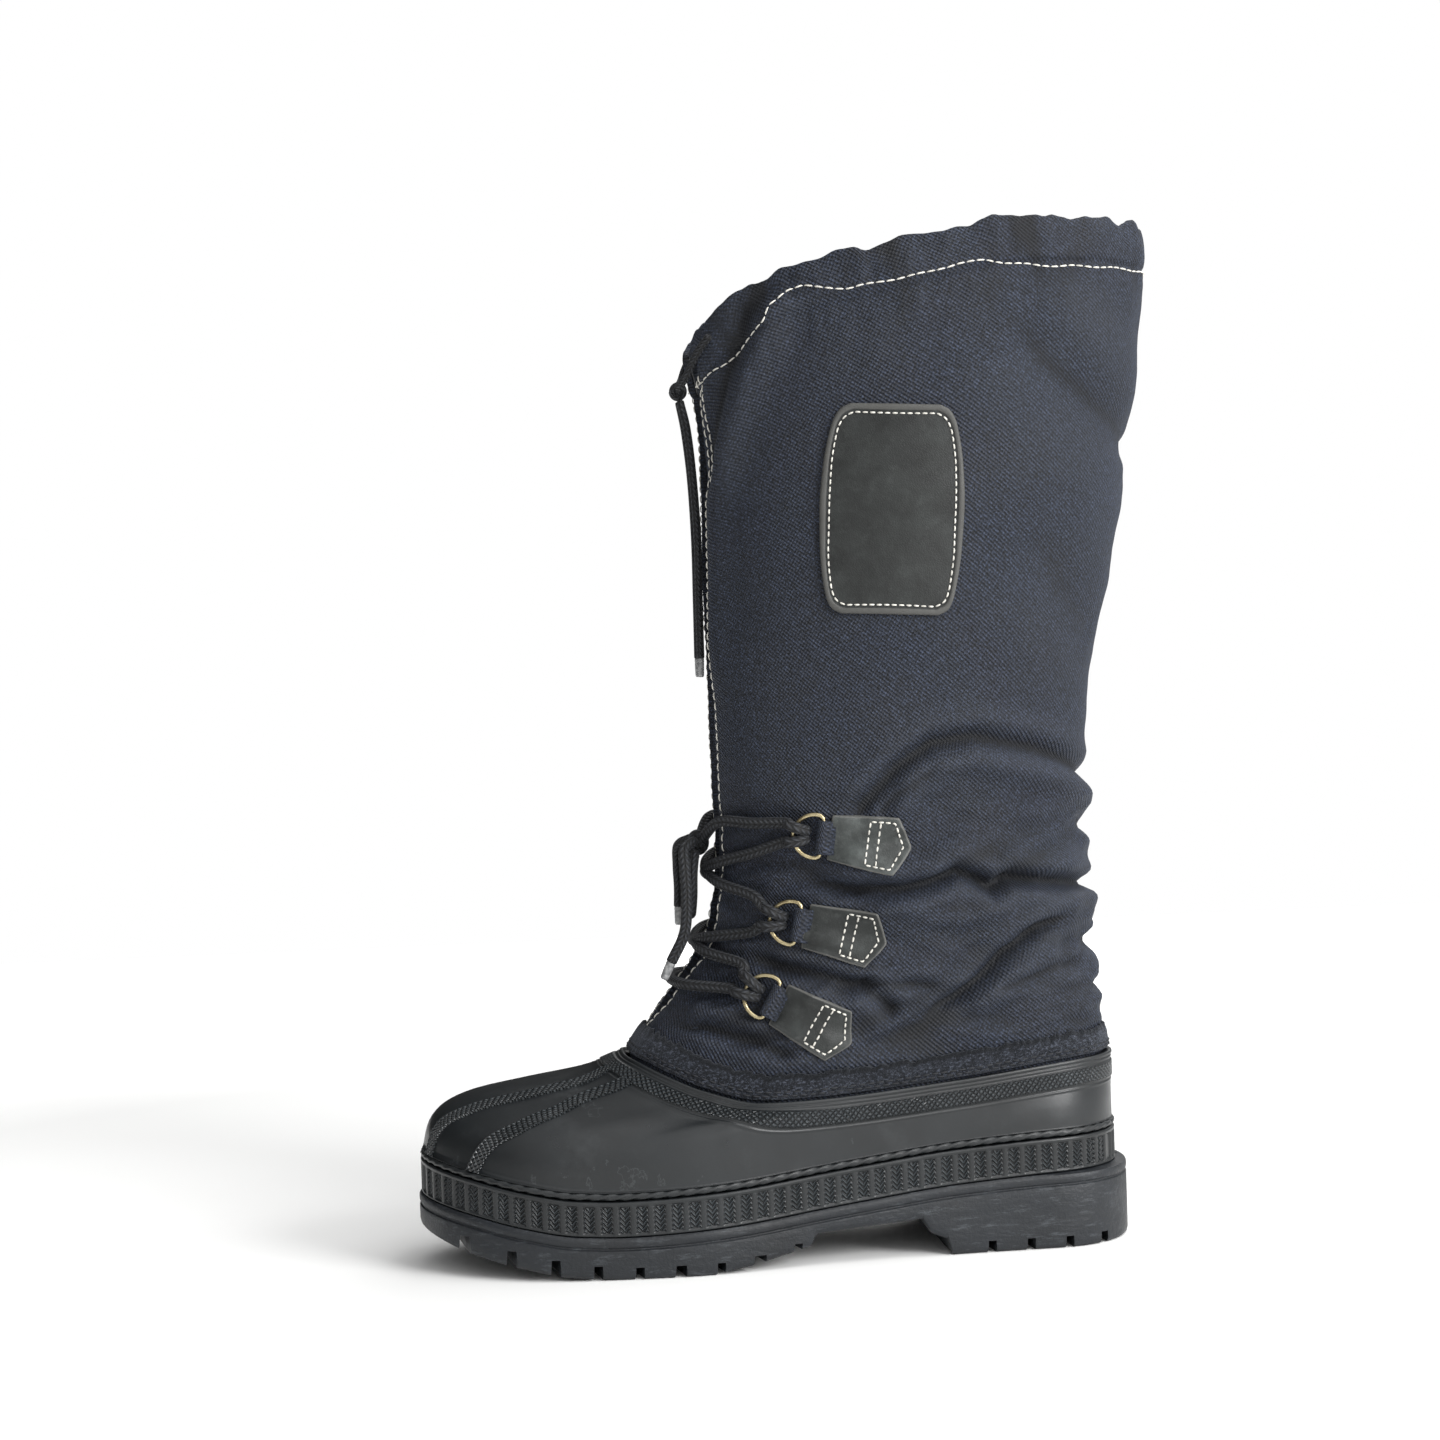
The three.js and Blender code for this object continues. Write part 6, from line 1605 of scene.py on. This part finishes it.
class BOOT_OT_shaft(Operator):
    """Add the shaft's nylon cloth with its creases, its lining, the tongue and their stitching"""
    bl_idname = "boot.shaft"
    bl_label = "Nylon shaft"

    def execute(self, context):
        nylon = finish_of("nylon_twill", nylon_cloth)
        edge_rows = [-2.6, -1.7, -0.7, -0.1, 0.0]
        columns, rows = sizes().cloth_columns, sizes().cloth_rows
        below = int(rows * 0.82)
        levels = np.concatenate([np.linspace(-0.018, 0.9, below), np.linspace(0.9, 1.0, rows - below + 1)[1:]])

        def sheet(level_of, out_of, surface):
            def place(u, v):
                level, sunk = level_of(v)
                start = cloth_slit_turn(level, -1)
                end = cloth_slit_turn(level, 1)
                arc_start = np.interp(start, SHAFT_TURNS, SHAFT_ARC)
                arc_end = np.interp(end, SHAFT_TURNS, SHAFT_ARC)
                share_along, rim = out_of(u)
                arc = mix(arc_start, arc_end, share_along)
                turn = np.interp(arc, SHAFT_ARC, SHAFT_TURNS)
                return surface(turn, level, rim + sunk), arc, level * CLOTH_MAP
            return place

        count = columns - 2 * len(edge_rows)

        def cloth_columns(u):
            k = np.rint(u * columns).astype(int)
            inner = np.clip((k - len(edge_rows)) / count, 0, 1)
            rim = np.zeros(k.shape)
            for i, depth in enumerate(edge_rows):
                rim = np.where(k == i, depth, rim)
                rim = np.where(k == columns - i, depth, rim)
            return inner, rim

        def cloth_rows(v):
            k = np.rint(v * (rows + 1)).astype(int)
            level = np.where(k < rows - 1, levels[np.clip(k, 0, rows - 1)], levels[-1])
            sunk = np.where(k == rows, -1.0, np.where(k == rows + 1, -2.6, np.where(k == rows - 1, -0.25, 0.0)))
            return level, sunk

        def shade_mask(kind):
            def values(u, v):
                level = cloth_rows(v)[0]
                turns = [np.interp(cloth_slit_turn(level, side), SHAFT_TURNS, SHAFT_ARC) for side in (-1, 1)]
                arc = mix(turns[0], turns[1], cloth_columns(u)[0])
                return folds(np.interp(arc, SHAFT_ARC, SHAFT_TURNS), level, kind)
            return values

        # The crease and ridge masks carry painted shade and a painted highlight into the cloth's colour
        piece = surface_piece("nylon_shaft", columns, rows + 1,
                              sheet(cloth_rows, cloth_columns, cloth), closed=True,
                              masks={"crease": shade_mask("crease"), "ridge": shade_mask("ridge")})
        face_outward(piece)
        settle(piece, nylon, "nylon", "shaft")

        def lining_rows(v):
            return mix(0.995, -0.03, v), np.zeros(np.shape(v))

        def lining_columns(u):
            return u, np.full(np.shape(u), -2.5)

        lining = surface_piece("shaft_lining", 160, 90, sheet(lining_rows, lining_columns, shaft_lining))
        face_outward(lining)
        lining.data.flip_normals()
        settle(lining, finish_of("lining_cloth", lining_cloth), "nylon")

        def tongue(u, v):
            level = mix(0.0, 0.95, v)
            turn = mix(-0.52, 0.52, u)
            z = mix(shaft_low(turn), shaft_high(turn), level)
            soft = soft_noise(turn * 9, z / 26, 21.0) * 1.3 + soft_noise(turn * 22, z / 9, 12.0) * 0.6
            middle = 1.2 * np.exp(-((turn / 0.05) ** 2))
            return shaft(turn, level, -3.0 + soft - middle), turn * 110, level * CLOTH_MAP

        flap = surface_piece("tongue_gusset", 80, 200, tongue)
        thicken(flap, 1.2, offset=-1.0)
        settle(flap, nylon, "nylon", "tongue")

        # Pale seams: the hem and the slit's edges
        hem = ((0.045, 362.5), (0.058, 363.2), (0.124, 369), (0.171, 376.5), (0.22, 385.5), (0.232, 392), (0.262, 397),
               (0.284, 398.2), (0.355, 396.7), (0.42, 399.5), (0.48, 402), (0.53, 405.5), (0.576, 406.7), (0.673, 405),
               (0.80, 405.6), (0.937, 405.5), (1.0, 405.5))
        both = hem + tuple((2 - a, z) for a, z in reversed(hem[:-1]))
        a = np.array([row[0] for row in both])
        z = np.array([row[1] for row in both])
        fine = np.linspace(a[0], a[-1], 900)
        z = np.interp(fine, a, z) + 0.35 * np.sin(fine * 70)
        half = np.linspace(0, math.pi, 361)
        shares = np.concatenate([girth_share(half), (2 - girth_share(np.linspace(math.pi, 0, 361)))[1:]])
        turn = np.interp(fine, shares, np.concatenate([half, np.linspace(math.pi, 2 * math.pi, 361)[1:]]))
        v = (z - shaft_low(turn)) / (shaft_high(turn) - shaft_low(turn))
        rows_of_thread = [surface_line(cloth, turn, v, 0.15)]
        for side in (-1, 1):
            for inset, low, high in ((2.4, 0.02, 0.955), (5.0, 0.80, 0.955)):
                level = np.linspace(low, high, 420)
                turn = cloth_slit_turn(level, side)
                arc = np.interp(turn, SHAFT_TURNS, SHAFT_ARC) - side * inset
                turn = np.interp(arc, SHAFT_ARC, SHAFT_TURNS)
                rows_of_thread.append(surface_line(cloth, turn, level, 0.15))
        thread = stitches("shaft_stitches", rows_of_thread, length=sizes().stitch * 1000, gap=0.8, width=0.72)
        settle(thread, pale_thread(), "nylon")
        return {"FINISHED"}


def shaft_lining(t, v, out):
    """The lining follows the outward folds of the cloth only a little."""
    t, v, out = same_shape(t, v, out)
    return shaft(t, v, out + np.minimum(folds(t, np.clip(v, 0, 1)), 0.8) * 0.9)


class BOOT_OT_insole(Operator):
    """Add the insole"""
    bl_idname = "boot.insole"
    bl_label = "Insole"

    def execute(self, context):
        t = mirrored_turns(120)
        side = foxing_inset(t) + FOXING_WALL + GAP + SHELL_WALL + GAP

        def level(height):
            return lambda x: foxing_line(x) + GAP + height

        rings = outline_rings(t, [(side + 0.6, level(0)), (side + 0.3, level(0.7)), (side + 0.2, level(2.5)),
                                  (side + 0.4, level(4.2)), (side + 1.2, level(4.9)), (side + 6, level(5.0)),
                                  (side + 18, level(5.0))])
        spine = 14 + (SOLE_LENGTH - 28) * share(t)
        top = np.column_stack([spine, np.zeros_like(t), foxing_line(spine) + GAP + 5])
        low = np.column_stack([spine, np.zeros_like(t), foxing_line(spine) + GAP])
        piece = closed_rings("insole_board", t, [low, *rings, top], np.linspace(0, 60, len(rings) + 2), wrap=False)
        settle(piece, finish_of("foam_insole", foam_insole), "felt", "insole")
        return {"FINISHED"}


def plate_piece(name, outline, origin, slope, side, profile, centre, rim_width=0.8, rim_highlight=0.6):
    """A flat piece laid on the cloth: rows of (distance in from its outline, out, share of its size left)."""
    outline = np.asarray(outline, float)
    closed = np.vstack([outline, outline[:1]])
    lengths = run_of(closed)
    count = int(lengths[-1] / 0.8)
    at = np.linspace(0, lengths[-1], count + 1)
    border = np.column_stack([np.interp(at, lengths, closed[:, k]) for k in (0, 1)])
    turn = math.radians(slope)
    centre = np.asarray(centre, float)
    away = border - centre
    reach = np.linalg.norm(away, axis=1)
    rings = len(profile)

    def place(u, v):
        c = np.rint(u * count).astype(int)
        r = np.rint(v * (rings - 1)).astype(int)
        inset = np.array([row[0] for row in profile])[r]
        out = np.array([row[1] for row in profile])[r]
        share_left = np.clip(1 - inset / reach[c], 0, 1)
        inner = np.array([row[2] if len(row) > 2 else -1.0 for row in profile])[r]
        share_left = np.where(inner >= 0, inner, share_left)
        p = centre[0] + away[c, 0] * share_left
        q = centre[1] + away[c, 1] * share_left
        x = origin[0] + p * math.cos(turn) - q * math.sin(turn)
        z = origin[1] + p * math.sin(turn) + q * math.cos(turn)
        return on_shaft(x, z, side, SEW_GAP + out, cloth), p, q

    # The rim mask holds a painted highlight along the raised edge
    rim = np.array([rim_highlight if row[0] < rim_width and len(row) == 2 else 0.0 for row in profile])
    piece = surface_piece(name, count, rings - 1, place, closed=True,
                          masks={"rim": lambda u, v: rim[np.rint(v * (rings - 1)).astype(int)]})
    face_outward(piece)
    return piece


def outline_line(outline, origin, slope, side, out):
    """Stitch line on the cloth through points in the plate's own millimetres."""
    outline = np.asarray(outline, float)
    lengths = run_of(outline)
    at = np.linspace(0, lengths[-1], max(12, int(lengths[-1] / 0.7)))
    p, q = (np.interp(at, lengths, outline[:, k]) for k in (0, 1))
    turn = math.radians(slope)
    x = origin[0] + p * math.cos(turn) - q * math.sin(turn)
    z = origin[1] + p * math.sin(turn) + q * math.cos(turn)
    base = on_shaft(x, z, side, SEW_GAP + out, cloth)
    above = on_shaft(x, z, side, SEW_GAP + out + 1, cloth)
    return base, above - base


class BOOT_OT_patch(Operator):
    """Add the bare leather patch with its raised rim and stitching"""
    bl_idname = "boot.patch"
    bl_label = "Patch"

    def execute(self, context):
        q = np.linspace(-1, 1, 61)
        half = follow(PATCH_OUTLINE, "half", q) * PATCH_WIDTH / 2
        right = np.column_stack([half, q * PATCH_HEIGHT / 2])
        left = np.column_stack([-half[::-1], q[::-1] * PATCH_HEIGHT / 2])
        level = np.full(13, PATCH_HEIGHT / 2)
        top = np.column_stack([np.linspace(half[-1], -half[-1], 15)[1:-1], level])
        low = np.column_stack([np.linspace(-half[0], half[0], 15)[1:-1], -level])
        outline = np.vstack([right, top, left, low]) * PATCH_SCALE
        origin = (SOLE_LENGTH * 0.664, BOOT_HEIGHT * 0.722)
        profile = [(0.0, -0.3), (0.0, 0.5), (0.2, 1.05), (0.6, 1.38), (1.2, 1.5), (2.0, 1.48), (2.4, 1.3), (2.7, 1.02),
                   (3.4, 0.98), (5.0, 1.0), (8.0, 1.0), (0, 1.0, 0.6), (0, 1.0, 0.45), (0, 1.0, 0.3), (0, 1.0, 0.15),
                   (0, 1.0, 0.0)]
        piece = plate_piece("leather_patch", outline, origin, -3, -1, profile, (0, 0), rim_width=2.6, rim_highlight=0.42)
        settle(piece, finish_of("patch_leather", worn_leather, "patch_leather", -0.4), "leather", "patch")
        inner = outline * (1 - 3.9 / np.linalg.norm(outline, axis=1, keepdims=True))
        rows = [outline_line(np.vstack([inner, inner[:1]]), origin, -3, -1, 1.05)]
        thread = stitches("patch_stitches", rows, length=2.2, gap=0.8, width=0.72)
        settle(thread, pale_thread(), "leather")
        return {"FINISHED"}


class BOOT_OT_tabs(Operator):
    """Add the leather tabs with their rings, nylon keepers and stitching"""
    bl_idname = "boot.tabs"
    bl_label = "Tabs and rings"

    def execute(self, context):
        leather = finish_of("worn_leather", worn_leather, "worn_leather", -0.15)
        worn = finish_of("worn_leather_pale", worn_leather, "worn_leather_pale", 0.9)
        brass = finish_of("old_brass", old_brass)
        nylon = finish_of("nylon_twill", nylon_cloth)
        thread = pale_thread()
        right = [(a * TAB_LENGTH, h * TAB_WIDTH / 2) for a, h in zip(TAB_OUTLINE["at"], TAB_OUTLINE["half"])]
        outline = np.array([*right, *[(p, -q) for p, q in reversed(right)]])[::-1]
        outline = np.vstack([outline, [(0.0, q) for q in np.linspace(-9.3, 9.3, 9)[1:-1]]])
        order = np.argsort(np.arctan2(outline[:, 1], outline[:, 0] - 15))
        outline = outline[order]
        profile = [(0.0, -0.3), (0.0, 0.6), (0.18, 1.2), (0.5, 1.5), (1.1, 1.62), (1.8, 1.58), (2.6, 1.42), (3.4, 1.42),
                   (4.4, 1.6), (6.0, 1.62), (0, 1.6, 0.4), (0, 1.6, 0.2), (0, 1.6, 0.0)]
        for side, word in ((-1, "lateral"), (1, "medial")):
            for tab in TABS:
                origin = (tab["along"] * SOLE_LENGTH, tab["up"] * BOOT_HEIGHT)
                piece = plate_piece(f"leather_tab_{tab['name']}_{word}", outline, origin, tab["slope"], side, profile,
                                    (15.0, 0.0))
                settle(piece, worn if tab["name"] == "top" else leather, "leather", f"tab_{tab['name']}_{word}")
                lines = [[(15.3, 8.7), (15.3, -8.7)], [(19.4, 8.9), (19.4, -8.9)],
                         [(15.3, 8.7), (25.0, 9.3), (29.6, 0.0), (25.0, -9.3), (15.3, -8.7)]]
                rows = [outline_line(line, origin, tab["slope"], side, 1.5) for line in lines]
                sewn = stitches(f"tab_stitches_{tab['name']}_{word}", rows, length=2.0, gap=0.75, width=0.8)
                settle(sewn, thread, "leather")

                frame_of_tab = tab_frame(tab, side)
                radius = (RING_WIDTH - RING_WIRE) / 2
                flat = RING_REACH - RING_WIRE / 2 - radius
                path = [(0.0, q) for q in np.linspace(-radius * 0.72, radius * 0.72, 9)]
                path += [(0.35, radius * 0.88), (1.5, radius * 0.98)]
                path += [(flat + radius * math.cos(a), radius * math.sin(a))
                         for a in np.linspace(math.pi / 2, -math.pi / 2, 27)]
                path += [(1.5, -radius * 0.98), (0.35, -radius * 0.88)]
                ring_points = np.array(path)
                wire = sizes().ring_wire * 500
                count, sides = len(path), 10

                def place(u, v):
                    i = np.rint(u * count).astype(int) % count
                    angle = 2 * math.pi * v
                    tangent = ring_points[(i + 1) % count] - ring_points[i - 1]
                    tangent /= np.linalg.norm(tangent, axis=1, keepdims=True)
                    r = wire * np.cos(angle)
                    p = BAR_AHEAD + ring_points[i, 0] + tangent[:, 1] * r
                    q = ring_points[i, 1] - tangent[:, 0] * r
                    o = BAR_OUT + wire * np.sin(angle)
                    start, f, a, out = frame_of_tab
                    return (start + p[:, None] * f + q[:, None] * a + o[:, None] * out), u * 60, v * 6

                ring = surface_piece(f"brass_ring_{tab['name']}_{word}", count, sides, place, closed=True)
                outwards(ring)
                settle(ring, brass, "brass", f"ring_{tab['name']}_{word}")

                # The keeper: a nylon strap from under the tab round the ring's bar
                loop = [(-2.5, 1.5), (-0.6, 1.7)]
                loop += [(BAR_AHEAD + 1.95 * math.cos(a), BAR_OUT + 1.95 * math.sin(a))
                         for a in np.linspace(-2.0, 1.9, 15)]
                loop += [(-0.2, 3.6), (-2.4, 2.6)]
                strap = band_piece(f"ring_keeper_{tab['name']}_{word}", np.array(loop), frame_of_tab, LOOP_LENGTH, 0.85)
                settle(strap, nylon, "nylon", f"ring_loop_{tab['name']}_{word}")
        return {"FINISHED"}


def band_piece(name, path, frame_of_tab, width, thickness):
    """A strap with rounded edges that follows a path of (forward, outward) places across a tab."""
    start, f, a, o = frame_of_tab
    tangent = np.gradient(path, axis=0)
    tangent /= np.linalg.norm(tangent, axis=1, keepdims=True)
    normal = np.column_stack([tangent[:, 1], -tangent[:, 0]])
    section = [(-1, 0), (-0.97, 0.8), (-0.9, 1), (-0.4, 0.92), (0, 1), (0.4, 0.92), (0.9, 1), (0.97, 0.8), (1, 0),
               (0.97, -0.8), (0.9, -1), (0, -1), (-0.9, -1), (-0.97, -0.8)]
    rows, sides = len(path) + 1, len(section)

    def place(u, v):
        i = np.rint(v * rows).astype(int)
        k = np.rint(u * sides).astype(int) % sides
        inside = (i > 0) & (i < rows)
        j = np.clip(i - 1, 0, len(path) - 1)
        w = np.array([row[0] for row in section])[k] * width / 2 * np.where(inside, 1, 0.001)
        h = np.array([row[1] for row in section])[k] * thickness / 2 * np.where(inside, 1, 0.001)
        p = path[j, 0] + normal[j, 0] * h
        q = path[j, 1] + normal[j, 1] * h
        points = start + p[:, None] * f + w[:, None] * a + q[:, None] * o
        return points, w, j * 1.1

    piece = surface_piece(name, sides, rows, place, closed=True)
    outwards(piece)
    return piece


class BOOT_OT_lacing(Operator):
    """Add the lace between the rings, the bow's knot and the drawcord's knot"""
    bl_idname = "boot.lacing"
    bl_label = "Lacing and knots"

    def execute(self, context):
        lace, thin = cord_materials()
        diameter = sizes().lace_diameter * 1000

        def strand(name, start_tab, start_side, end_tab, *nodes):
            points, start, end = strand_points(start_tab, start_side, end_tab)
            whole = [*into_ring(*start), *points, *reversed(into_ring(*end))]
            piece, _, _ = cord_piece(name, whole, diameter)
            settle(piece, lace, "cord", *nodes)

        strand("lace_bottom", 2, -1, 2, "lace_bar_bottom")
        strand("lace_lower_a", 2, -1, 1, "lace_cross_lower")
        strand("lace_lower_b", 2, 1, 1)
        strand("lace_upper_a", 1, -1, 0, "lace_cross_upper")
        strand("lace_upper_b", 1, 1, 0)
        for word, side in (("lateral", -1), ("medial", 1)):
            points, start, _ = strand_points(0, side, 0)
            end = front_point(KNOT_HEIGHT + 0.001, side * 0.0035, LACE_CLEAR / 1000 + 0.0024)
            piece, _, _ = cord_piece("lace_top_" + word, [*into_ring(*start), *points[:3], end], diameter)
            settle(piece, lace, "cord", "lace_bar_top_" + word)

        def wrap(name, centre, wide, tall, deep, thick, material, node, turns):
            """A knot: cord wound round itself as a tight bundle."""
            centre = np.asarray(centre)
            path = []
            for k in range(turns * 16 + 1):
                a = 2 * math.pi * k / 16
                across = (k / (turns * 16) - 0.5) * wide
                path.append(centre + np.array([-math.cos(a) * deep, across, math.sin(a) * tall]))
            piece, _, _ = cord_piece(name, path, thick)
            return settle(piece, material, "cord", node) if node else settle(piece, material, "cord")

        knot = front_point(KNOT_HEIGHT, 0, KNOT_OUT)
        wrap("bow_knot", knot, 5.5, 3.3, 2.6, 4.3, lace, "lace_knot", 2)
        core, _, _ = cord_piece("bow_knot_core", [knot + (0.5, -6, 0.6), knot + (0, 0, 0), knot + (0.5, 6, 0.6)], 4.6)
        settle(core, lace, "cord")
        tie = front_point(DRAW_HEIGHT, 0, DRAW_OUT)
        wrap("drawcord_tie", tie, 3.4, 2.4, 2.2, 3.1, thin, "drawcord_knot", 2)
        core, _, _ = cord_piece("drawcord_tie_core", [tie + (0.6, -3.6, 1), tie, tie + (0.6, 3.6, 1)], 3.3)
        settle(core, thin, "cord")
        return {"FINISHED"}


class BOOT_OT_cords(Operator):
    """Add the bow, the lace's ends and the drawcord that hang free"""
    bl_idname = "boot.cords"
    bl_label = "Bow, lace ends and drawcord"

    def execute(self, context):
        lace, thin = cord_materials()
        plastic = finish_of("cord_tip_plastic", cord_tip_plastic)

        def free_cord(name, points, diameter, material, node):
            piece, line, length = cord_piece(name, points, diameter * 1000)
            settle(piece, material, "cord", node)
            return line

        def tip_piece(name, points, diameter, node):
            line = smooth_path(points)
            end = line[-1]
            along = (np.array(points[-1]) - np.array(points[-2]))
            along /= np.linalg.norm(along)
            across = np.cross(along, (0, 1, 0))
            across /= np.linalg.norm(across)
            third = np.cross(along, across)
            profile = [(0.2, 0.0), (0.2, 0.30), (0.4, 0.42), (1.2, 0.44), (2.0, 0.44), (2.2, 0.40), (2.4, 0.43),
                       (5.6, 0.41), (5.8, 0.38), (6.0, 0.40), (7.6, 0.38), (8.2, 0.30), (8.3, 0.0)]

            def place(u, v):
                k = np.rint(v * (len(profile) - 1)).astype(int)
                down = np.array([row[0] for row in profile])[k]
                radius = np.array([max(row[1], 0.0004) for row in profile])[k] * diameter
                angle = 2 * math.pi * u
                ring = across * (np.cos(angle) * radius)[:, None] + third * (np.sin(angle) * radius)[:, None]
                return end + along * down[:, None] + ring, u * 10, down

            tip = surface_piece(name, 16, len(profile) - 1, place, closed=True)
            outwards(tip)
            return settle(tip, plastic, "tip", node)

        for word, loop, end in (("lateral", LACE_LOOP_LATERAL, LACE_END_LATERAL),
                                ("medial", LACE_LOOP_MEDIAL, LACE_END_MEDIAL)):
            free_cord("bow_loop_" + word, [front_point(*p) for p in loop], sizes().lace_diameter, lace,
                      "lace_loop_" + word)
            points = [front_point(*p) for p in end]
            tip = tip_piece("lace_end_tip_" + word, points, LACE_DIAMETER, "lace_tip_" + word)
            free_cord("lace_tail_" + word, points, sizes().lace_diameter, lace, "lace_end_" + word)

        for word, side in (("lateral", -1), ("medial", 1)):
            points = [front_point(z, y * side, out) for z, y, out in DRAW_END]
            tip = tip_piece("drawcord_end_tip_" + word, points, DRAWCORD_DIAMETER, "drawcord_tip_" + word)
            free_cord("drawcord_tail_" + word, points, sizes().drawcord_diameter, thin,
                      "drawcord_end_" + word)
            clear = 1.2 + DRAWCORD_DIAMETER / 2 + GAP + 0.4
            turns = np.array([0.42, 0.34, 0.25, 0.16]) * (1 if side < 0 else -1)
            below = np.array([8, 8.4, 9, 9.8])
            lead = list(shaft(turns, 1 - shaft_share(turns, below), np.array([clear, clear, clear, clear + 0.6])))
            lead.append(front_point(DRAW_HEIGHT + 0.0012, side * 0.0049, DRAW_OUT))
            free_cord("drawcord_collar_" + word, lead, sizes().drawcord_diameter, thin, "drawcord_lead_" + word)
        return {"FINISHED"}


CLASSES = (
    BootSizes, BootColours, BOOT_OT_stage, BOOT_OT_cords, BOOT_OT_outsole, BOOT_OT_foxing, BOOT_OT_shell,
    BOOT_OT_insole, BOOT_OT_shaft, BOOT_OT_join_strip, BOOT_OT_patch, BOOT_OT_tabs, BOOT_OT_lacing,
)


class BOOT_PT_panel(Panel):
    """The boot's sizes, colours and pieces in the sidebar"""
    bl_idname = "BOOT_PT_panel"
    bl_label = "Pac boot"
    bl_space_type = "VIEW_3D"
    bl_region_type = "UI"
    bl_category = "Boot"

    def draw(self, context):
        layout = self.layout
        for group in (context.scene.boot_sizes, context.scene.boot_colours):
            for name in group.bl_rna.properties.keys():
                if name not in {"rna_type", "name"}:
                    layout.prop(group, name)
        for kind in CLASSES:
            if issubclass(kind, Operator):
                layout.operator(kind.bl_idname)


def register():
    for kind in (*CLASSES, BOOT_PT_panel):
        bpy.utils.register_class(kind)
    bpy.types.Scene.boot_sizes = PointerProperty(type=BootSizes)
    bpy.types.Scene.boot_colours = PointerProperty(type=BootColours)


def unregister():
    del bpy.types.Scene.boot_colours
    del bpy.types.Scene.boot_sizes
    for kind in (BOOT_PT_panel, *reversed(CLASSES)):
        bpy.utils.unregister_class(kind)


def main():
    register()
    bpy.ops.boot.stage()
    bpy.ops.boot.cords()
    bpy.ops.boot.outsole()
    bpy.ops.boot.foxing()
    bpy.ops.boot.shell()
    bpy.ops.boot.insole()
    bpy.ops.boot.shaft()
    bpy.ops.boot.join_strip()
    bpy.ops.boot.patch()
    bpy.ops.boot.tabs()
    bpy.ops.boot.lacing()


if __name__ == "__main__":
    main()
